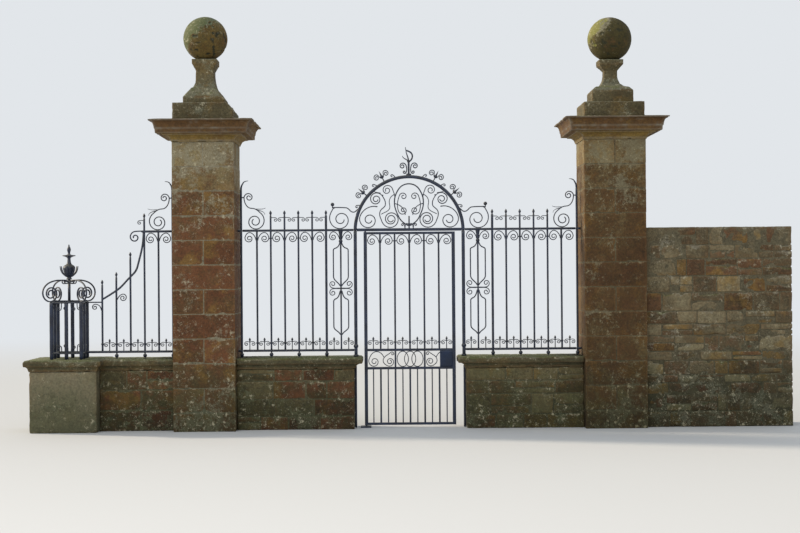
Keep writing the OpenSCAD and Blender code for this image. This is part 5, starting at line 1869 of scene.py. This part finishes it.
    def finial(self) -> Surface:
        """The urn of leaves, its dish and its pointed tip."""
        foot = self.plan.standard_top_z + DOME_H
        core, leaf = Forge(self.plan), Forge(self.plan)
        core.turn(0, foot, URN, 2, 28)
        petal = [((24, foot + 30), (1, 0.6)), ((88, foot + 100), (0.3, 1)), ((96, foot + 142), (0.2, 1))]
        leaf.ribbon(via(petal), 13, 24, 0.5)
        leaves = [self.spun(leaf.surface(), degrees) for degrees in range(0, 360, 45)]
        return Surface.merged([self.spun(core.surface(), 0)] + leaves)

    def build(self, material: Material) -> None:
        """Build and dress the wing, on the left."""
        pieces = {"wing_railing": self.railing()}
        pieces["wing_bracket"] = Screens(self.plan).bracket(self.plan.wing_x, 1)
        pieces |= {"standard_cage": self.cage(), "standard_dome": self.dome()}
        pieces["standard_finial"] = self.finial()
        place_iron({node: surface.mirrored() for node, surface in pieces.items()}, material)


# Studio


@dataclass(frozen=True)
class Studio:
    """The pale floor and backdrop, the lamps and the camera."""

    camera: tuple[float, float, float] = (-0.217, -16.0, 1.649)
    focal: float = 94.0 * 16.0
    vanishing: Pair = (389.0, 272.0)
    roll: float = 0.44
    backdrop: Colour = (226, 230, 234)
    ground: Colour = (206, 205, 203)
    sky: tuple[float, float, float, float] = (0.86, 0.93, 1.0, 1.0)
    sky_strength: float = 0.68
    floor_reach: float = 60.0
    fade: Pair = (7.0, 26.0)

    def build(self) -> None:
        """Build everything that isn't part of the object."""
        self.world()
        self.floor()
        self.lamps()
        self.view()
        bpy.context.scene.view_settings.view_transform = "Standard"

    def seen(self, w: Wiring) -> Socket:
        """1 for the rays that should meet the backdrop's own colour."""
        rays = w.add("ShaderNodeLightPath").outputs
        seen = w.math("MAXIMUM", rays["Is Camera Ray"], rays["Is Glossy Ray"])
        return w.math("MAXIMUM", seen, rays["Is Transmission Ray"])

    def world(self) -> None:
        """A pale backdrop, and a soft even light."""
        world = bpy.data.worlds.new("studio")
        bpy.context.scene.world = world
        world.use_nodes = True
        w = Wiring(world.node_tree)
        nodes = world.node_tree.nodes
        light = w.feed(nodes["Background"], {"Color": self.sky, "Strength": self.sky_strength})
        pale = w.add("ShaderNodeBackground", {"Color": paint(self.backdrop), "Strength": 1.0})
        mix = w.add("ShaderNodeMixShader", {0: self.seen(w), 1: light.outputs[0], 2: pale.outputs[0]})
        w.feed(nodes["World Output"], {"Surface": mix.outputs[0]})

    def floor(self) -> None:
        """A plain pale floor that fades into the backdrop far from the object."""
        far = self.floor_reach
        mesh = bpy.data.meshes.new("floor")
        mesh.from_pydata([(-far, -far, 0), (far, -far, 0), (far, far, 0), (-far, far, 0)], [], [(0, 1, 2, 3)])
        floor = bpy.data.objects.new("floor", mesh)
        link(floor)
        material, w, shader = new_material("floor")
        w.feed(shader, {"Base Color": paint(self.ground), "Roughness": 0.9})
        glow = w.add("ShaderNodeEmission", {"Color": paint(self.backdrop), "Strength": 1.0})
        away = w.add("ShaderNodeVectorMath", {0: object_place(w)}, operation="LENGTH").outputs["Value"]
        share = w.math("MULTIPLY", w.step(away, *self.fade), self.seen(w))
        mix = w.add("ShaderNodeMixShader", {0: share, 1: shader.outputs[0], 2: glow.outputs[0]})
        w.feed(material.node_tree.nodes["Material Output"], {"Surface": mix.outputs[0]})
        mesh.materials.append(material)

    def lamps(self) -> None:
        """A warm soft sun from behind on the left, and a broad cool light in front."""
        sun = bpy.data.lights.new("sun", "SUN")
        sun.energy = 3.8
        sun.angle = math.radians(5)
        sun.color = (1.0, 0.88, 0.7)
        self.aim("sun", sun, Vector((-14, 4.2, 7.6)), Vector((0, 0, 1.5)))
        front = bpy.data.lights.new("front", "AREA")
        front.shape = "RECTANGLE"
        front.size, front.size_y = 14.0, 8.0
        front.energy = 820.0
        front.color = (0.95, 0.97, 1.0)
        self.aim("front", front, Vector((-5, -14, 9)), Vector((0, 0, 1.5)))

    @staticmethod
    def aim(name: str, lamp: bpy.types.Light, spot: Vector, target: Vector) -> None:
        """Put a lamp somewhere and turn it to a point."""
        obj = bpy.data.objects.new(name, lamp)
        obj.location = spot
        obj.rotation_euler = (target - spot).to_track_quat("-Z", "Y").to_euler()
        link(obj)

    def view(self) -> None:
        """The camera, turned so that the vanishing point falls where the photograph has it."""
        data = bpy.data.cameras.new("camera")
        data.sensor_width = 36.0
        data.lens = self.focal / IMAGE_WIDTH * data.sensor_width
        data.clip_end = 200.0
        yaw = math.atan((self.vanishing[0] - IMAGE_WIDTH / 2) / self.focal)
        pitch = math.atan((self.vanishing[1] - IMAGE_HEIGHT / 2) / self.focal)
        camera = bpy.data.objects.new("camera", data)
        camera.matrix_world = (
            Matrix.Translation(self.camera)
            @ Matrix.Rotation(yaw, 4, "Z")
            @ Matrix.Rotation(math.pi / 2 + pitch, 4, "X")
            @ Matrix.Rotation(-math.radians(self.roll), 4, "Z")
        )
        link(camera)
        bpy.context.scene.camera = camera


# The gateway

STONES = [
    StoneFinish("left pier stone", lichen=0.58, lift=0.14, streaks=0.35),
    StoneFinish("right pier stone", (150, 132, 94), (104, 80, 50), (94, 66, 42), (128, 96, 50),
                film=(122, 116, 92), crust=(160, 150, 118), mortar=(110, 100, 76),
                lichen=0.56, lift=0.16, streaks=0.5),
    StoneFinish("cap stone", (156, 130, 72), (112, 84, 50), (102, 74, 46), fresh=(160, 158, 144),
                edge=0.4, golden=0.3, lichen=0.3, foot_weight=0.0),
    StoneFinish("pedestal stone", (122, 112, 84), (98, 88, 62), film=(116, 116, 96), lichen=0.6, golden=0.3),
    # The balls' side shares paint paler crusts on their sunward side: painted light.
    StoneFinish("left ball stone", (122, 106, 60), (104, 84, 44), film=(104, 118, 96), fresh=(44, 44, 30),
                edge=1.0, lichen=0.4, golden=0.2, side=0.55),
    StoneFinish("right ball stone", (96, 88, 50), (78, 70, 40), moss=(124, 122, 44), fresh=(46, 46, 30),
                edge=0.9, golden=0.4, mossy=0.2, lichen=0.25, ledge=0.1, side=0.5),
    StoneFinish("wall stone", (148, 138, 104), (116, 104, 72), (126, 84, 58), film=(128, 126, 100),
                mortar=(126, 120, 94), mossy=0.4),
    StoneFinish("boundary stone", (160, 148, 118), (114, 102, 78), (116, 86, 62), film=(140, 134, 116),
                mortar=(118, 110, 88), lichen=0.55, lichen_size=1.4, mossy=0.4),
    StoneFinish("coping stone", (102, 98, 74), (82, 80, 58), film=(114, 114, 92), golden=0.15, lichen=0.6,
                mossy=0.5, foot_weight=0.0),
    StoneFinish("base stone", (158, 148, 124), (134, 122, 98), film=(138, 136, 114), golden=0.1,
                mossy=0.1, lichen=0.4),
]
LEFT_KINDS = [(0.02, 0.08), (0.3, 0.35), (0.7, 0.65), (0.8, 0.8), (0.85, 0.9), (0.9, 0.9)]
LEFT_KINDS += [(0.8, 0.85), (0.9, 0.9), (0.85, 0.8), (0.6, 0.6), (0.4, 0.5), (0.45, 0.45)]
RIGHT_KINDS = [(0.12, 0.2), (0.45, 0.4), (0.55, 0.55), (0.6, 0.6), (0.6, 0.6), (0.62, 0.6)]
RIGHT_KINDS += [(0.55, 0.6), (0.6, 0.6), (0.5, 0.5), (0.5, 0.5), (0.35, 0.35), (0.4, 0.4)]
LEFT_FINIAL = {"plinth_h": 0.17, "pedestal_h": 0.476, "neck_w": 0.19, "collar_w": 0.264}
WALLS = [
    (RubbleWall("left_dwarf_wall", 11, longest=0.44), "wall stone"),
    (RubbleWall("right_dwarf_wall", 12, longest=0.44, kinds=(0.0, 0.5)), "wall stone"),
    (RubbleWall("wing_wall", 13, kinds=(0.4, 1.0)), "wall stone"),
    (RubbleWall("standard_base", 14, 0.5, 0.7, 0.6, 0.8, split=0.0, kinds=(0.0, 0.1)), "base stone"),
    (RubbleWall("boundary_wall", 15, 0.08, 0.2, 0.1, 0.36, mortar_inset=0.009, proud=0.009, rough=0.004,
                spacing=0.045), "boundary stone"),
]
COPINGS = [
    Coping("left_coping", 21, right=1.5),
    Coping("right_coping", 22, left=1.5),
    Coping("wing_coping", 23),
    Coping("standard_base_cap", 24, over=0.055, left=1.0, right=1.0),
]


def main() -> None:
    """Build the studio and every sub-assembly in order."""
    logging.basicConfig(level=logging.INFO, format="%(name)s: %(message)s")
    Studio().build()
    groups = {"grain": stone_grain_group(), "lichen": lichen_and_lit_side_group()}
    groups |= {"streaks": streak_group(), "iron": iron_wear_and_light_group()}
    finishes = {stone.name: stone.material(groups) for stone in STONES}
    Pier(Side.LEFT, LEFT_KINDS, 3, block=0.14, shoulder_w=0.31, broken=True, **LEFT_FINIAL).build(finishes)
    Pier(Side.RIGHT, RIGHT_KINDS, 8).build(finishes)
    for wall, finish in WALLS:
        wall.build(finishes[finish])
    for coping in COPINGS:
        coping.build(finishes["coping stone"])
    iron = IronFinish("wrought iron").material(groups)
    lock = IronFinish("lock iron", (10, 26, 48), (18, 38, 68), dust_and_lit_amount=0.15).material(groups)
    plan = Layout()
    for sub_assembly in (Overthrow(plan), Leaf(plan), Screens(plan), Wing(plan)):
        sub_assembly.build(iron)
    for node in ("transom", "lock_keep", "footstep_plate", "hinge_stile", "lock_stile", "leaf_rails"):
        keep(node, iron)
    place(lock_case(), ["lock_case"], lock, "riveted", "wrought_iron", "leaf")


if __name__ == "__main__":
    main()
